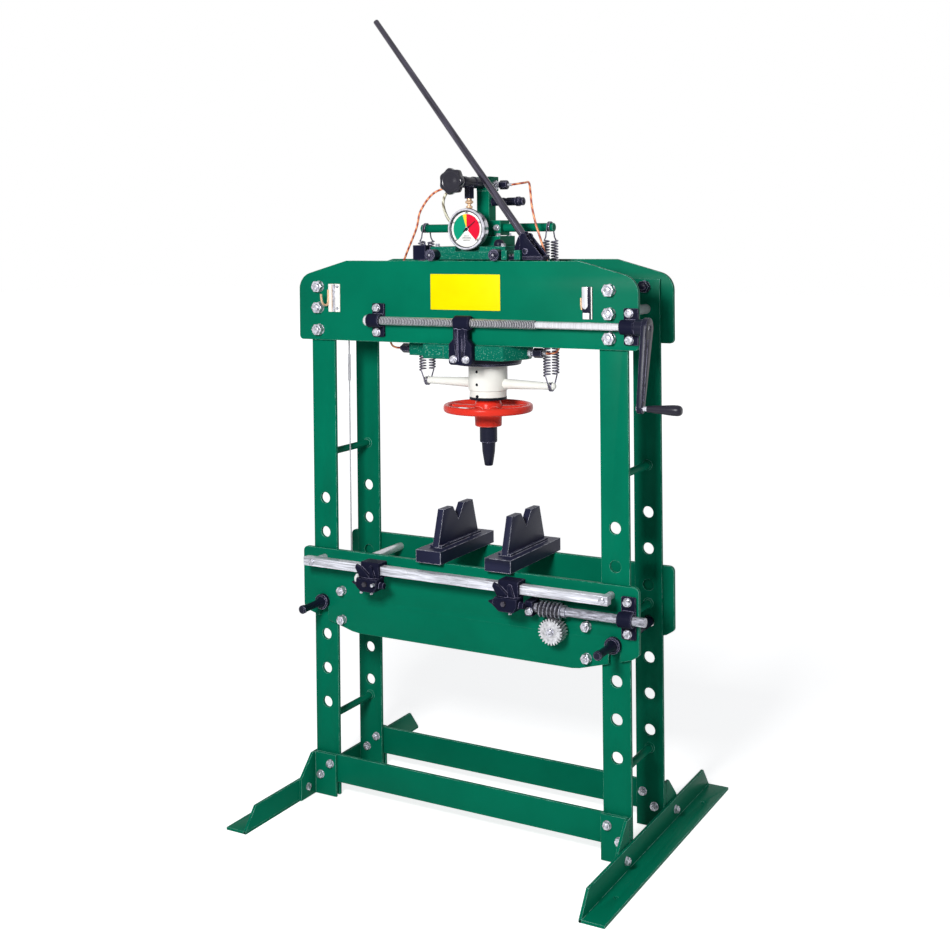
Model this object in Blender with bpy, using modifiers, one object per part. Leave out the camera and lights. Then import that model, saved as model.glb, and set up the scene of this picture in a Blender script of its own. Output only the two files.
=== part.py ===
"""Hydraulic shop press with a travelling cylinder carriage, a winch-lifted bed and a hand pump.

Run with: blender --background --python part.py, or from Blender's text editor.
Metres, +Z up, +X to the operator's right, the operator stands on the -Y side.
Sizes below are measured from the floor and from the frame's middle plane; the whole
assembly is then shifted so that the origin lies under the middle of its bounding box.
"""

import math

import bmesh
import bpy
from mathutils import Vector

# Clearances
SEAT_GAP = 0.0003
RUNNING_GAP = 0.0005
CUT_OVERRUN = 0.004
WELD_DISTANCE = 0.00001
SPIN_WELD_DISTANCE = 0.00002

# Uprights and their rows of pin holes
HOLE_PITCH = 0.100
HOLE_ROWS = 7
LOWEST_HOLE_Z = 0.270
HOLE_COLUMN_X = 0.459
HOLE_RADIUS = 0.016
UPRIGHT_WIDTH = 0.080
UPRIGHT_THICKNESS = 0.010
UPRIGHT_FOOT_Z = 0.004
UPRIGHT_TOP_Z = 1.510
FRAME_DEPTH = 0.236
TIE_ROD_RADIUS = 0.010
TIE_ROD_HEIGHTS = (0.222, 0.620, 1.000)
BEAM_SPACER_RADIUS = 0.0135
BEAM_SPACER_Z = 1.428

# Top beam: a pair of plates that sandwich the uprights
PLATE_THICKNESS = 0.013
BEAM_HALF_LENGTH = 0.534
BEAM_TOP_HALF_LENGTH = 0.368
BEAM_TOP_Z = 1.564
BEAM_BOTTOM_Z = 1.334
BEAM_SHOULDER_Z = 1.518
BEAM_SHOULDER_RADIUS = 0.050
BEAM_CORNER_RADIUS = 0.012

# Base bars, gussets and angle feet
BASE_BAR_THICKNESS = 0.010
BASE_BAR_BOTTOM_Z = 0.045
BASE_BAR_TOP_Z = 0.125
GUSSET_THICKNESS = 0.008
GUSSET_BOTTOM_Z = 0.003
GUSSET_REACH = 0.078
GUSSET_TOP_REACH = 0.021
GUSSET_SLOPE_Z = 0.066
FOOT_HALF_LENGTH = 0.450
FOOT_THICKNESS = 0.008
FOOT_FLANGE_HEIGHT = 0.064
FOOT_FLANGE_WIDTH = 0.0677
FOOT_END_CHAMFER = 0.045
FOOT_HOLE_RADIUS = 0.006
FOOT_HOLE_Y = 0.312

# Lead screw that moves the carriage, its bearings and crank
SCREW_STANDOFF = 0.0267
SCREW_Z = 1.396
SCREW_THREAD_RADIUS = 0.012
SCREW_PLAIN_RADIUS = 0.010
SCREW_CAP_RADIUS = 0.016
SCREW_LEFT_END_X = -0.2873
SCREW_THREAD_END_X = 0.256
SCREW_BEARING_LEFT_X = -0.2542
SCREW_BEARING_RIGHT_X = 0.5165
SCREW_BEARING_WIDTH = 0.040
SCREW_BEARING_HEIGHT = 0.095
SCREW_BEARING_FLANGE = 0.008
SCREW_BEARING_BARREL_RADIUS = 0.019
CRANK_HUB_RADIUS = 0.021
CRANK_HUB_LENGTH = 0.024
CRANK_ARM_LENGTH = 0.204
CRANK_ARM_WIDTH = 0.028
CRANK_ARM_THICKNESS = 0.016
CRANK_FORWARD_ANGLE = math.radians(13.6)
CRANK_GRIP_LENGTH = 0.1015
CRANK_GRIP_NECK_RADIUS = 0.0065
CRANK_GRIP_RADIUS = 0.0135

# Cylinder carriage that rolls along the beam
CARRIAGE_X = 0.023
TOP_PLATE_HALF_LENGTH = 0.118
TOP_PLATE_ROLLER_GAP = 0.0028
TOP_PLATE_THICKNESS = 0.036
TOP_PLATE_LIFT = 0.003
BARREL_RADIUS = 0.085
LOWER_FLANGE_THICKNESS = 0.040
LOWER_FLANGE_OVERHANG = 0.0147
LOWER_FLANGE_HALF_LENGTH = 0.126
LOWER_FLANGE_REAR_HALF_LENGTH = 0.068
LOWER_FLANGE_SIDE_END_Y = 0.036
FLANGE_BOSS_REACH = 0.034
FLANGE_BOSS_LEAN = 0.078
PORT_Y = -0.057
PORT_BELOW_BEAM = 0.022
PORT_BLOCK_REACH = 0.053
PORT_BLOCK_WIDTH = 0.040
PORT_BLOCK_HEIGHT = 0.036
PORT_NUT_RADIUS = 0.012
PORT_NUT_LEFT_LENGTH = 0.040
PORT_NUT_RIGHT_LENGTH = 0.052
END_STOP_LENGTH = 0.041
END_STOP_HEIGHT = 0.041
END_STOP_LIFT = 0.0025
END_STOP_PROUD = 0.0037
END_STOP_STANDOFF = 0.005
END_STOP_OVERLAP = 0.005
ROLLER_SPACING = 0.200
ROLLER_RADIUS = 0.016
ROLLER_WIDTH = 0.020
ROLLER_PROUD = 0.013
AXLE_RADIUS = 0.006
AXLE_END_LENGTH = 0.003
GLAND_RADIUS = 0.0962
GLAND_HEIGHT = 0.023
NUT_X = 0.034
NUT_RADIUS = 0.020
NUT_LENGTH = 0.052
BRACKET_X = 0.028
BRACKET_BOTTOM_Z = 1.281
BRACKET_LOBE_Z = 1.338
BRACKET_LOBE_HALF_WIDTH = 0.036
BRACKET_NECK_HALF_WIDTH = 0.022
BRACKET_DEPTH = 0.022
BRACKET_CORNER_RADIUS = 0.009

# Ram: rod, white sleeve and cross arms
ROD_RADIUS = 0.050
ROD_TOP_Z = 1.500
SLEEVE_RADIUS = 0.0555
SLEEVE_BOTTOM_Z = 1.171
ARM_RISE = 0.045
ARM_RADIUS = 0.0115
ARM_HALF_LENGTH = 0.213
SPINDLE_CLEARANCE = 0.008

# Handwheel and threaded nose
WHEEL_RADIUS = 0.1270
WHEEL_RIM_WIDTH = 0.014
WHEEL_RIM_HEIGHT = 0.020
WHEEL_RIM_Z = 1.147
WHEEL_HUB_RADIUS = 0.0390
WHEEL_HUB_BOTTOM_Z = 1.095
WHEEL_SPOKES = 5
WHEEL_SPOKE_WIDTH = 0.022
WHEEL_SPOKE_HEIGHT = 0.010
NOSE_THREAD_RADIUS = 0.020
NOSE_UPPER_RADIUS = 0.0250
NOSE_LOWER_RADIUS = 0.0197
NOSE_TIP_RADIUS = 0.0115
NOSE_UPPER_LENGTH = 0.0450
NOSE_LOWER_LENGTH = 0.0280
NOSE_TAPER_LENGTH = 0.039
NOSE_THREAD_TOP_Z = 1.262

# Return springs between the upper bar and the ram's arms
SPRING_BAR_Z = 1.654
SPRING_BAR_RADIUS = 0.0118
SPRING_BAR_HALF_LENGTH = 0.212
SPRING_X = 0.199
SPRING_Y = 0.022
SPRING_OUTER_RADIUS = 0.011
SPRING_WIRE_RADIUS = 0.0018
SPRING_CURLS = 12
SPRING_CURL_POINTS = 8
SPRING_COIL_TOP_Z = 1.618
SPRING_COIL_BOTTOM_Z = 1.246
SPRING_HOOK_STAGGER = 0.0026
SPRING_HOOK_GAP = 0.0010
SPRING_HOOK_TURN = math.radians(230)
SPRING_HOOK_POINTS = 8

# Column on the carriage with the valves and the gauge
COLUMN_SIDE = 0.040
COLUMN_FOOT_HALF_LENGTH = 0.067
COLUMN_FOOT_HALF_DEPTH = 0.045
COLUMN_FOOT_HEIGHT = 0.028
COLUMN_HEAD_SIDE = 0.052
COLUMN_HEAD_BOTTOM_Z = 1.758
COLUMN_TOP_Z = 1.798
COLUMN_BOSS_BACK = 0.030
COLUMN_BOSS_REACH = 0.059
COLUMN_BOSS_DEPTH = 0.056
COLUMN_BOSS_HEIGHT = 0.042
VALVE_Z = 1.780
TEE_RADIUS = 0.015
TEE_FRONT_Y = -0.150
TEE_BRANCH_RADIUS = 0.0138
TEE_BRANCH_BOTTOM_Z = 1.735
KNOB_RADIUS = 0.0370
KNOB_LOBES = 7
KNOB_LOBE_DEPTH = 0.0018
KNOB_FRONT_Y = -0.202
KNOB_THICKNESS = 0.022
KNOB_NECK_RADIUS = 0.010
GAUGE_Z = 1.651
GAUGE_RADIUS = 0.0573
GAUGE_FRONT_Y = -0.120
GAUGE_DEPTH = 0.036
GAUGE_STEM_Y = -0.098
GAUGE_STEM_RADIUS = 0.007
GAUGE_BEZEL_WIDTH = 0.005
GAUGE_CLEARANCE = 0.004
GAUGE_DIAL_RECESS = 0.006
GAUGE_SPINDLE_RADIUS = 0.002
NEEDLE_LENGTH = 0.036
NEEDLE_TAIL = 0.012
NEEDLE_WIDTH = 0.004
NEEDLE_THICKNESS = 0.001
NEEDLE_ANGLE = math.radians(-52)
RELEASE_Z = 1.727
RELEASE_RADIUS = 0.0115
RELEASE_END_X = 0.142
RELEASE_COLLAR_RADIUS = 0.0135
RELEASE_COLLAR_LENGTH = 0.010
RELEASE_CAP_LENGTH = 0.012
PIPE_RADIUS = 0.003
HOSE_RADIUS = 0.004

# Hand pump: bracket, lever socket, plunger and handle
PUMP_INSET = 0.020
PUMP_PIVOT_X = 0.205
PUMP_PIVOT_Z = 1.590
PUMP_BRACKET_LEFT_X = 0.1415
PUMP_BRACKET_RIGHT_X = 0.2580
PUMP_BRACKET_BOTTOM_Z = 1.5665
PUMP_BASE_HEIGHT = 0.010
PUMP_EAR_THICKNESS = 0.006
PUMP_EAR_WIDTH = 0.036
PUMP_EAR_PEAK_X = 0.199
PUMP_EAR_PEAK_Z = 1.629
PUMP_EAR_PEAK_RADIUS = 0.010
PUMP_PIN_RADIUS = 0.006
PLUNGER_ARM = 0.030
PLUNGER_RADIUS = 0.006
PLUNGER_LENGTH = 0.050
LEVER_THICKNESS = 0.006
LEVER_GAP = 0.015
HANDLE_TILT = math.radians(37.2)
HANDLE_OFFSET = 0.013
HANDLE_LENGTH = 0.796
HANDLE_BOTTOM_RADIUS = 0.0105
HANDLE_TOP_RADIUS = 0.008
SOCKET_RADIUS = 0.0145
SOCKET_LENGTH = 0.046
SOCKET_FLOOR = 0.008

# Pressing bed, its pins and rail
BED_HALF_LENGTH = 0.529
BED_TOP_Z = 0.725
BED_BOTTOM_Z = 0.491
BED_CORNER_RADIUS = 0.014
BED_SIDE_BOTTOM_Z = 0.550
BED_SHOULDER_X = 0.506
BED_SHOULDER_Z = 0.535
BED_BELLY_HALF_LENGTH = 0.350
PIN_ROW = 3
PIN_RADIUS = 0.0145
PIN_COLLAR_RADIUS = 0.022
PIN_COLLAR_LENGTH = 0.014
PIN_GRIP_RADIUS = 0.012
PIN_GRIP_LENGTH = 0.0944
PIN_REAR_REACH = 0.0087
BED_SPACER_X = 0.387
BED_SPACER_Z = 0.527
BED_SPACER_RADIUS = 0.0115
SHEAVE_Z = 0.611
SHEAVE_WIDTH = 0.016
STIFFENER_X = -0.350
STIFFENER_Z = 0.690
RAIL_HALF_LENGTH = 0.482
RAIL_SIDE = 0.024
RAIL_Z = 0.699
RAIL_STANDOFF = 0.0417
RAIL_POST_X = 0.453
RAIL_POST_RADIUS = 0.010

# Centres that clamp on the rail
CLAMP_LEFT_X = -0.247
CLAMP_RIGHT_X = 0.190
CLAMP_HALF_LENGTH = 0.030
CLAMP_WALL = 0.011
CLAMP_JAW_PROUD = 0.029
CLAMP_JAW_DEPTH = 0.042
CLAMP_JAW_BOTTOM_Z = 0.643
CLAMP_JAW_HALF_LENGTH = 0.034
CENTRE_RADIUS = 0.009
CENTRE_REACH = 0.062
CENTRE_TAPER = 0.018
CENTRE_TAIL = 0.048
CENTRE_Z = 0.661

# Winch on the bed: worm, worm wheel and drum
WORM_X = 0.297
WORM_STANDOFF = 0.0247
WORM_Z = 0.646
WORM_RADIUS = 0.020
WORM_ROOT_RADIUS = 0.0160
WORM_LENGTH = 0.082
WORM_RIDGES = 6
WORM_SHAFT_RADIUS = 0.011
WORM_SHAFT_LEFT_X = 0.2225
WORM_SHAFT_RIGHT_X = 0.562
WORM_LUG_X = 0.234
WORM_LUG_WIDTH = 0.022
WORM_LUG_HEIGHT = 0.040
WORM_BEARING_X = 0.503
WORM_BEARING_WIDTH = 0.040
WORM_BEARING_HEIGHT = 0.110
WORM_BEARING_FLANGE = 0.008
WORM_BEARING_BARREL_RADIUS = 0.020
WHEEL_GEAR_TEETH = 24
WHEEL_GEAR_RADIUS = 0.0335
WHEEL_GEAR_ROOT_RADIUS = 0.0280
WHEEL_GEAR_THICKNESS = 0.034
WINCH_CENTRE_DROP = 0.054
WINCH_SHAFT_RADIUS = 0.010
DRUM_HALF_LENGTH = 0.045
CABLE_RADIUS = 0.002
CABLE_Y = -0.010

# V-blocks that stand across the bed
V_BLOCK_LEFT_X = -0.087
V_BLOCK_RIGHT_X = 0.131
V_BASE_WIDTH = 0.080
V_BASE_OVERHANG = 0.0237
V_BASE_HEIGHT = 0.036
V_LIP_WIDTH = 0.009
V_LIP_HEIGHT = 0.007
V_PLATE_THICKNESS = 0.020
V_PLATE_FOOT_HALF_LENGTH = 0.115
V_PLATE_TOP_HALF_LENGTH = 0.083
V_PLATE_HEIGHT = 0.102
V_NOTCH_HALF_WIDTH = 0.031
V_NOTCH_DEPTH = 0.042

# Facets on round shapes
FINE = 32
ROUND = 20
SMALL = 12
THREAD = 16

# Places that follow from the sizes above
FRAME_HALF_DEPTH = FRAME_DEPTH / 2
UPRIGHT_Y = FRAME_HALF_DEPTH - UPRIGHT_THICKNESS / 2
PLATE_FACE_Y = FRAME_HALF_DEPTH + SEAT_GAP + PLATE_THICKNESS
PLATE_Y = PLATE_FACE_Y - PLATE_THICKNESS / 2
SCREW_Y = -PLATE_FACE_Y - SCREW_STANDOFF
TOP_PLATE_HALF_DEPTH = PLATE_Y - ROLLER_WIDTH / 2 - TOP_PLATE_ROLLER_GAP
LOWER_FLANGE_HALF_DEPTH = PLATE_FACE_Y + LOWER_FLANGE_OVERHANG
PUMP_Y = PUMP_INSET - FRAME_HALF_DEPTH
RAIL_FRONT_Y = -PLATE_FACE_Y - RAIL_STANDOFF - RAIL_SIDE
CLAMP_JAW_FRONT_Y = RAIL_FRONT_Y - CLAMP_JAW_PROUD
CLAMP_JAW_BACK_Y = CLAMP_JAW_FRONT_Y + CLAMP_JAW_DEPTH
WORM_Y = -PLATE_FACE_Y - WORM_STANDOFF
WHEEL_GEAR_FRONT_Y = WORM_Y - WORM_RADIUS
V_BASE_HALF_LENGTH = PLATE_FACE_Y + V_BASE_OVERHANG
BASE_BAR_FACE_Y = FRAME_HALF_DEPTH + SEAT_GAP + BASE_BAR_THICKNESS
GUSSET_Y = BASE_BAR_FACE_Y + SEAT_GAP
UPRIGHT_OUTER_X = HOLE_COLUMN_X + UPRIGHT_WIDTH / 2
UPRIGHT_INNER_X = HOLE_COLUMN_X - UPRIGHT_WIDTH / 2
FOOT_INNER_X = UPRIGHT_OUTER_X + SEAT_GAP
PIN_Z = LOWEST_HOLE_Z + PIN_ROW * HOLE_PITCH
LOWER_FLANGE_TOP_Z = BEAM_BOTTOM_Z - SEAT_GAP
LOWER_FLANGE_BOTTOM_Z = LOWER_FLANGE_TOP_Z - LOWER_FLANGE_THICKNESS
GLAND_TOP_Z = LOWER_FLANGE_BOTTOM_Z - SEAT_GAP
TOP_PLATE_BOTTOM_Z = BEAM_TOP_Z + TOP_PLATE_LIFT
TOP_PLATE_TOP_Z = TOP_PLATE_BOTTOM_Z + TOP_PLATE_THICKNESS
PORT_Z = BEAM_BOTTOM_Z - PORT_BELOW_BEAM
ARM_Z = SLEEVE_BOTTOM_Z + ARM_RISE
SPINDLE_BORE_TOP_Z = NOSE_THREAD_TOP_Z + SPINDLE_CLEARANCE
WINCH_Z = WORM_Z - WINCH_CENTRE_DROP
CABLE_X = HOLE_COLUMN_X - BEAM_SPACER_RADIUS - SEAT_GAP - CABLE_RADIUS
SHEAVE_RADIUS = CABLE_X - BED_SPACER_X - CABLE_RADIUS - SEAT_GAP
CABLE_RUN_Z = SHEAVE_Z - SHEAVE_RADIUS - SEAT_GAP - CABLE_RADIUS
DRUM_RADIUS = WINCH_Z - CABLE_RUN_Z - CABLE_RADIUS - SEAT_GAP
CRANK_START_X = SCREW_BEARING_RIGHT_X + SCREW_BEARING_WIDTH / 2 + RUNNING_GAP
CRANK_ARM_END_X = CRANK_START_X + CRANK_HUB_LENGTH + CRANK_ARM_THICKNESS
CRANK_END_X = CRANK_ARM_END_X + CRANK_GRIP_LENGTH
ORIGIN_SHIFT_X = (CRANK_END_X - FOOT_INNER_X - FOOT_FLANGE_WIDTH) / 2

AXES = {
    "X": (0, math.pi / 2, 0),
    "Y": (math.pi / 2, 0, 0),
    "Z": (0, 0, 0),
}


def start_scene():
    for obj in list(bpy.data.objects):
        bpy.data.objects.remove(obj, do_unlink=True)
    for group in (bpy.data.meshes, bpy.data.curves, bpy.data.materials, bpy.data.collections):
        for block in list(group):
            group.remove(block)


def new_collection(name):
    collection = bpy.data.collections.new(name)
    bpy.context.scene.collection.children.link(collection)
    return collection


def make_material(name, color, metallic, roughness):
    material = bpy.data.materials.new(name)
    material.use_nodes = True
    shader = material.node_tree.nodes["Principled BSDF"]
    shader.inputs["Base Color"].default_value = (*color, 1)
    shader.inputs["Metallic"].default_value = metallic
    shader.inputs["Roughness"].default_value = roughness
    material.diffuse_color = (*color, 1)
    return material


start_scene()
PRESS = new_collection("hydraulic_shop_press")
TOOLS = new_collection("press_cutters")
ASSEMBLY = bpy.data.objects.new("assembly_origin", None)
ASSEMBLY.location = (-ORIGIN_SHIFT_X, 0, 0)
PRESS.objects.link(ASSEMBLY)

GREEN = make_material("green_enamel", (0.006, 0.19, 0.12), 0, 0.35)
BLACK = make_material("black_enamel", (0.014, 0.012, 0.022), 0, 0.4)
STEEL = make_material("bright_steel", (0.62, 0.62, 0.64), 1, 0.3)
WHITE = make_material("ivory_enamel", (0.83, 0.80, 0.72), 0, 0.35)
RED = make_material("red_enamel", (0.80, 0.06, 0.015), 0, 0.3)
COPPER = make_material("copper_pipe", (0.75, 0.22, 0.07), 1, 0.35)
GUNMETAL = make_material("gunmetal", (0.12, 0.11, 0.13), 1, 0.4)
HOSE = make_material("clear_hose", (0.72, 0.66, 0.42), 0, 0.3)


def add_piece(name, data, material, location=(0, 0, 0), rotation=(0, 0, 0)):
    """Link a finished shape as one named sub-part of the press."""
    piece = bpy.data.objects.new(name, data)
    piece.location = location
    piece.rotation_euler = rotation
    piece.parent = ASSEMBLY
    PRESS.objects.link(piece)
    if material is not None:
        data.materials.append(material)
    return piece


def as_tool(piece):
    """Turn a piece into a hidden operand for a Boolean."""
    PRESS.objects.unlink(piece)
    TOOLS.objects.link(piece)
    piece.display_type = "WIRE"
    piece.hide_render = True
    return piece


def box_mesh(name, size, bevel=0):
    bm = bmesh.new()
    bmesh.ops.create_cube(bm, size=1)
    bmesh.ops.scale(bm, vec=Vector(size), verts=bm.verts)
    if bevel:
        bmesh.ops.bevel(bm, geom=bm.edges[:], offset=bevel, segments=1, affect="EDGES")
    mesh = bpy.data.meshes.new(name)
    bm.to_mesh(mesh)
    bm.free()
    return mesh


def box(name, low, high, material=None, bevel=0):
    """A box between two corners."""
    size = [b - a for a, b in zip(low, high)]
    centre = [(a + b) / 2 for a, b in zip(low, high)]
    return add_piece(name, box_mesh(name, size, bevel), material, centre)


def smooth(mesh):
    mesh.shade_smooth()
    mesh.set_sharp_from_angle(angle=math.radians(40))


def cylinder(name, radius, length, centre, axis, material=None, facets=ROUND, rotation=None):
    """A round bar centred on a point, along a main axis or turned by a rotation."""
    bm = bmesh.new()
    bmesh.ops.create_cone(
        bm, cap_ends=True, segments=facets, radius1=radius, radius2=radius, depth=length
    )
    mesh = bpy.data.meshes.new(name)
    bm.to_mesh(mesh)
    bm.free()
    smooth(mesh)
    return add_piece(name, mesh, material, centre, rotation or AXES[axis])


def turned(name, profile, location, axis, material=None, steps=ROUND):
    """Spin a profile of (radius, height) pairs, listed from the top down."""
    bm = bmesh.new()
    verts = [bm.verts.new((radius, 0, height)) for radius, height in profile]
    for first, second in zip(verts, verts[1:]):
        bm.edges.new((first, second))
    mesh = bpy.data.meshes.new(name)
    bm.to_mesh(mesh)
    bm.free()
    piece = add_piece(name, mesh, material, location, AXES[axis])
    screw = piece.modifiers.new("spin", "SCREW")
    screw.steps = steps
    screw.render_steps = steps
    screw.use_merge_vertices = True
    screw.merge_threshold = SPIN_WELD_DISTANCE
    screw.use_smooth_shade = False
    return piece


def ring(name, profile, location, axis, material=None, steps=ROUND):
    """Spin a closed profile that never touches the axis."""
    return turned(name, list(profile) + [profile[0]], location, axis, material, steps)


def bake(piece):
    """Apply a curve's or a modifier's shape, so that Booleans can use it."""
    depsgraph = bpy.context.evaluated_depsgraph_get()
    depsgraph.update()
    mesh = bpy.data.meshes.new_from_object(piece.evaluated_get(depsgraph))
    bm = bmesh.new()
    bm.from_mesh(mesh)
    bmesh.ops.remove_doubles(bm, verts=bm.verts, dist=WELD_DISTANCE)
    bmesh.ops.recalc_face_normals(bm, faces=bm.faces)
    bm.to_mesh(mesh)
    bm.free()
    name = piece.name
    location = piece.location.copy()
    rotation = piece.rotation_euler.copy()
    materials = [slot for slot in piece.data.materials]
    bpy.data.objects.remove(piece, do_unlink=True)
    mesh.materials.clear()
    baked = add_piece(name, mesh, materials[0] if materials else None, location, rotation)
    baked.name = name
    return baked


def arc(centre, radius, start, end, steps):
    """Points along an arc, angles in radians."""
    points = []
    for i in range(steps + 1):
        angle = start + (end - start) * i / steps
        points.append((centre[0] + radius * math.cos(angle), centre[1] + radius * math.sin(angle)))
    return points


def circle(centre, radius, facets):
    return arc(centre, radius, 0, 2 * math.pi, facets)[:-1]


def rounded(points, radii, steps=2):
    """Round each corner of a closed outline by its own radius."""
    outline = []
    count = len(points)
    for i, (corner, radius) in enumerate(zip(points, radii)):
        here = Vector(corner)
        before = (Vector(points[i - 1]) - here).normalized()
        after = (Vector(points[(i + 1) % count]) - here).normalized()
        half = before.angle(after) / 2
        reach = radius / math.tan(half)
        centre = here + (before + after).normalized() * (radius / math.sin(half))
        first = here + before * reach - centre
        last = here + after * reach - centre
        turn = first.angle_signed(last)
        for k in range(steps + 1):
            angle = -turn * k / steps
            spin = Vector((
                first.x * math.cos(angle) - first.y * math.sin(angle),
                first.x * math.sin(angle) + first.y * math.cos(angle),
            ))
            outline.append(tuple(centre + spin))
    return outline


def flat(name, outlines, thickness, location, plane, material=None):
    """A flat plate from closed outlines; inner outlines are its holes."""
    curve = bpy.data.curves.new(name, "CURVE")
    curve.dimensions = "2D"
    curve.fill_mode = "BOTH"
    curve.extrude = thickness / 2
    for outline in outlines:
        spline = curve.splines.new("POLY")
        spline.points.add(len(outline) - 1)
        for point, (u, v) in zip(spline.points, outline):
            point.co = (u, v, 0, 1)
        spline.use_cyclic_u = True
    turns = {"XZ": (math.pi / 2, 0, 0), "YZ": (math.pi / 2, 0, math.pi / 2), "XY": (0, 0, 0)}
    return bake(add_piece(name, curve, material, location, turns[plane]))


def tube(name, points, radius, material, resolution=2):
    """A round tube along a list of points."""
    curve = bpy.data.curves.new(name, "CURVE")
    curve.dimensions = "3D"
    curve.bevel_depth = radius
    curve.bevel_resolution = resolution
    curve.use_fill_caps = True
    spline = curve.splines.new("POLY")
    spline.points.add(len(points) - 1)
    for point, place in zip(spline.points, points):
        point.co = (*place, 1)
    return bake(add_piece(name, curve, material))


def smooth_route(points, spacing):
    """Points of a smooth curve through a route, a fixed spacing apart."""
    knots = [Vector(p) for p in points]
    padded = [2 * knots[0] - knots[1], *knots, 2 * knots[-1] - knots[-2]]
    fine = []
    for a, b, c, d in zip(padded, padded[1:], padded[2:], padded[3:]):
        for i in range(24):
            t = i / 24
            fine.append(
                0.5 * (2 * b + (c - a) * t + (2 * a - 5 * b + 4 * c - d) * t * t
                       + (3 * b - a - 3 * c + d) * t * t * t)
            )
    fine.append(knots[-1])
    length = sum((q - p).length for p, q in zip(fine, fine[1:]))
    count = max(2, round(length / spacing))
    route = [fine[0]]
    walked = 0
    for p, q in zip(fine, fine[1:]):
        step = (q - p).length
        while step and walked + step >= len(route) * length / count and len(route) < count:
            share = (len(route) * length / count - walked) / step
            route.append(p + (q - p) * share)
        walked += step
    route.append(fine[-1])
    return route


def combine(piece, other, operation):
    boolean = piece.modifiers.new(operation.lower(), "BOOLEAN")
    boolean.operation = operation
    boolean.solver = "EXACT"
    boolean.object = as_tool(other)


def join(piece, *others):
    for other in others:
        combine(piece, other, "UNION")
    return piece


def cut(piece, *others):
    for other in others:
        combine(piece, other, "DIFFERENCE")
    return piece


def sides():
    return (("left", -1), ("right", 1))


def build_uprights():
    length = UPRIGHT_TOP_Z - UPRIGHT_FOOT_Z
    middle = (UPRIGHT_TOP_Z + UPRIGHT_FOOT_Z) / 2
    half = UPRIGHT_WIDTH / 2
    bar = [(-half, -length / 2), (half, -length / 2), (half, length / 2), (-half, length / 2)]
    holes = [
        circle((0, LOWEST_HOLE_Z + row * HOLE_PITCH - middle), HOLE_RADIUS, SMALL)
        for row in range(HOLE_ROWS)
    ]
    for side, sign in sides():
        x = sign * HOLE_COLUMN_X
        flat(f"upright_front_{side}", [bar, *holes], UPRIGHT_THICKNESS,
             (x, -UPRIGHT_Y, middle), "XZ", GREEN)
        rear = flat(f"upright_rear_{side}", [bar, *holes], UPRIGHT_THICKNESS,
                    (x, UPRIGHT_Y, middle), "XZ", GREEN)
        front_face = -FRAME_HALF_DEPTH + UPRIGHT_THICKNESS + SEAT_GAP
        reach = UPRIGHT_Y - front_face
        rods = [(TIE_ROD_RADIUS, z) for z in TIE_ROD_HEIGHTS]
        rods.append((BEAM_SPACER_RADIUS, BEAM_SPACER_Z))
        for radius, z in rods:
            rod = cylinder(f"rod_{side}_{z:.3f}", radius, reach,
                           (x, front_face + reach / 2, z), "Y", facets=SMALL)
            join(rear, rod)


def build_beam():
    half = [
        (BEAM_TOP_HALF_LENGTH, BEAM_TOP_Z, BEAM_CORNER_RADIUS),
        (BEAM_HALF_LENGTH, BEAM_SHOULDER_Z, BEAM_SHOULDER_RADIUS),
        (BEAM_HALF_LENGTH, BEAM_BOTTOM_Z, BEAM_CORNER_RADIUS),
    ]
    corners = half + [(-x, z, radius) for x, z, radius in reversed(half)]
    outline = rounded([(x, z) for x, z, _ in corners], [radius for _, _, radius in corners])
    for name, y in (("front", -PLATE_Y), ("rear", PLATE_Y)):
        flat(f"beam_plate_{name}", [outline], PLATE_THICKNESS, (0, y, 0), "XZ", GREEN)


def build_base():
    bar_y = FRAME_HALF_DEPTH + SEAT_GAP + BASE_BAR_THICKNESS / 2
    for name, sign_y in (("front", -1), ("rear", 1)):
        box(f"base_bar_{name}",
            (-UPRIGHT_OUTER_X, sign_y * bar_y - BASE_BAR_THICKNESS / 2, BASE_BAR_BOTTOM_Z),
            (UPRIGHT_OUTER_X, sign_y * bar_y + BASE_BAR_THICKNESS / 2, BASE_BAR_TOP_Z), GREEN)
        for side, sign_x in sides():
            build_gusset(f"gusset_{name}_{side}", sign_x, sign_y)
    for side, sign in sides():
        build_foot(side, sign)


def build_gusset(name, sign_x, sign_y):
    """A bent plate: one leg against the base bar, the other against the foot."""
    inner = sign_x * UPRIGHT_INNER_X
    outer = sign_x * UPRIGHT_OUTER_X
    bend = outer - sign_x * GUSSET_THICKNESS
    near = sign_y * GUSSET_Y
    face = sign_y * (GUSSET_Y + GUSSET_THICKNESS)
    tip = sign_y * (GUSSET_Y + GUSSET_REACH)
    section = [(inner, near), (outer, near), (outer, tip), (bend, tip), (bend, face), (inner, face)]
    gusset = flat(name, [section], BASE_BAR_TOP_Z - GUSSET_BOTTOM_Z,
                  (0, 0, (BASE_BAR_TOP_Z + GUSSET_BOTTOM_Z) / 2), "XY", GREEN)
    top = sign_y * (GUSSET_Y + GUSSET_TOP_REACH)
    past = tip + sign_y * CUT_OVERRUN
    above = BASE_BAR_TOP_Z + CUT_OVERRUN
    wedge = [(tip, GUSSET_SLOPE_Z), (top, BASE_BAR_TOP_Z), (top, above), (past, above),
             (past, GUSSET_SLOPE_Z)]
    cut(gusset, flat(name + "_bevel", [wedge], 4 * GUSSET_THICKNESS, (outer, 0, 0), "YZ"))


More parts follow.
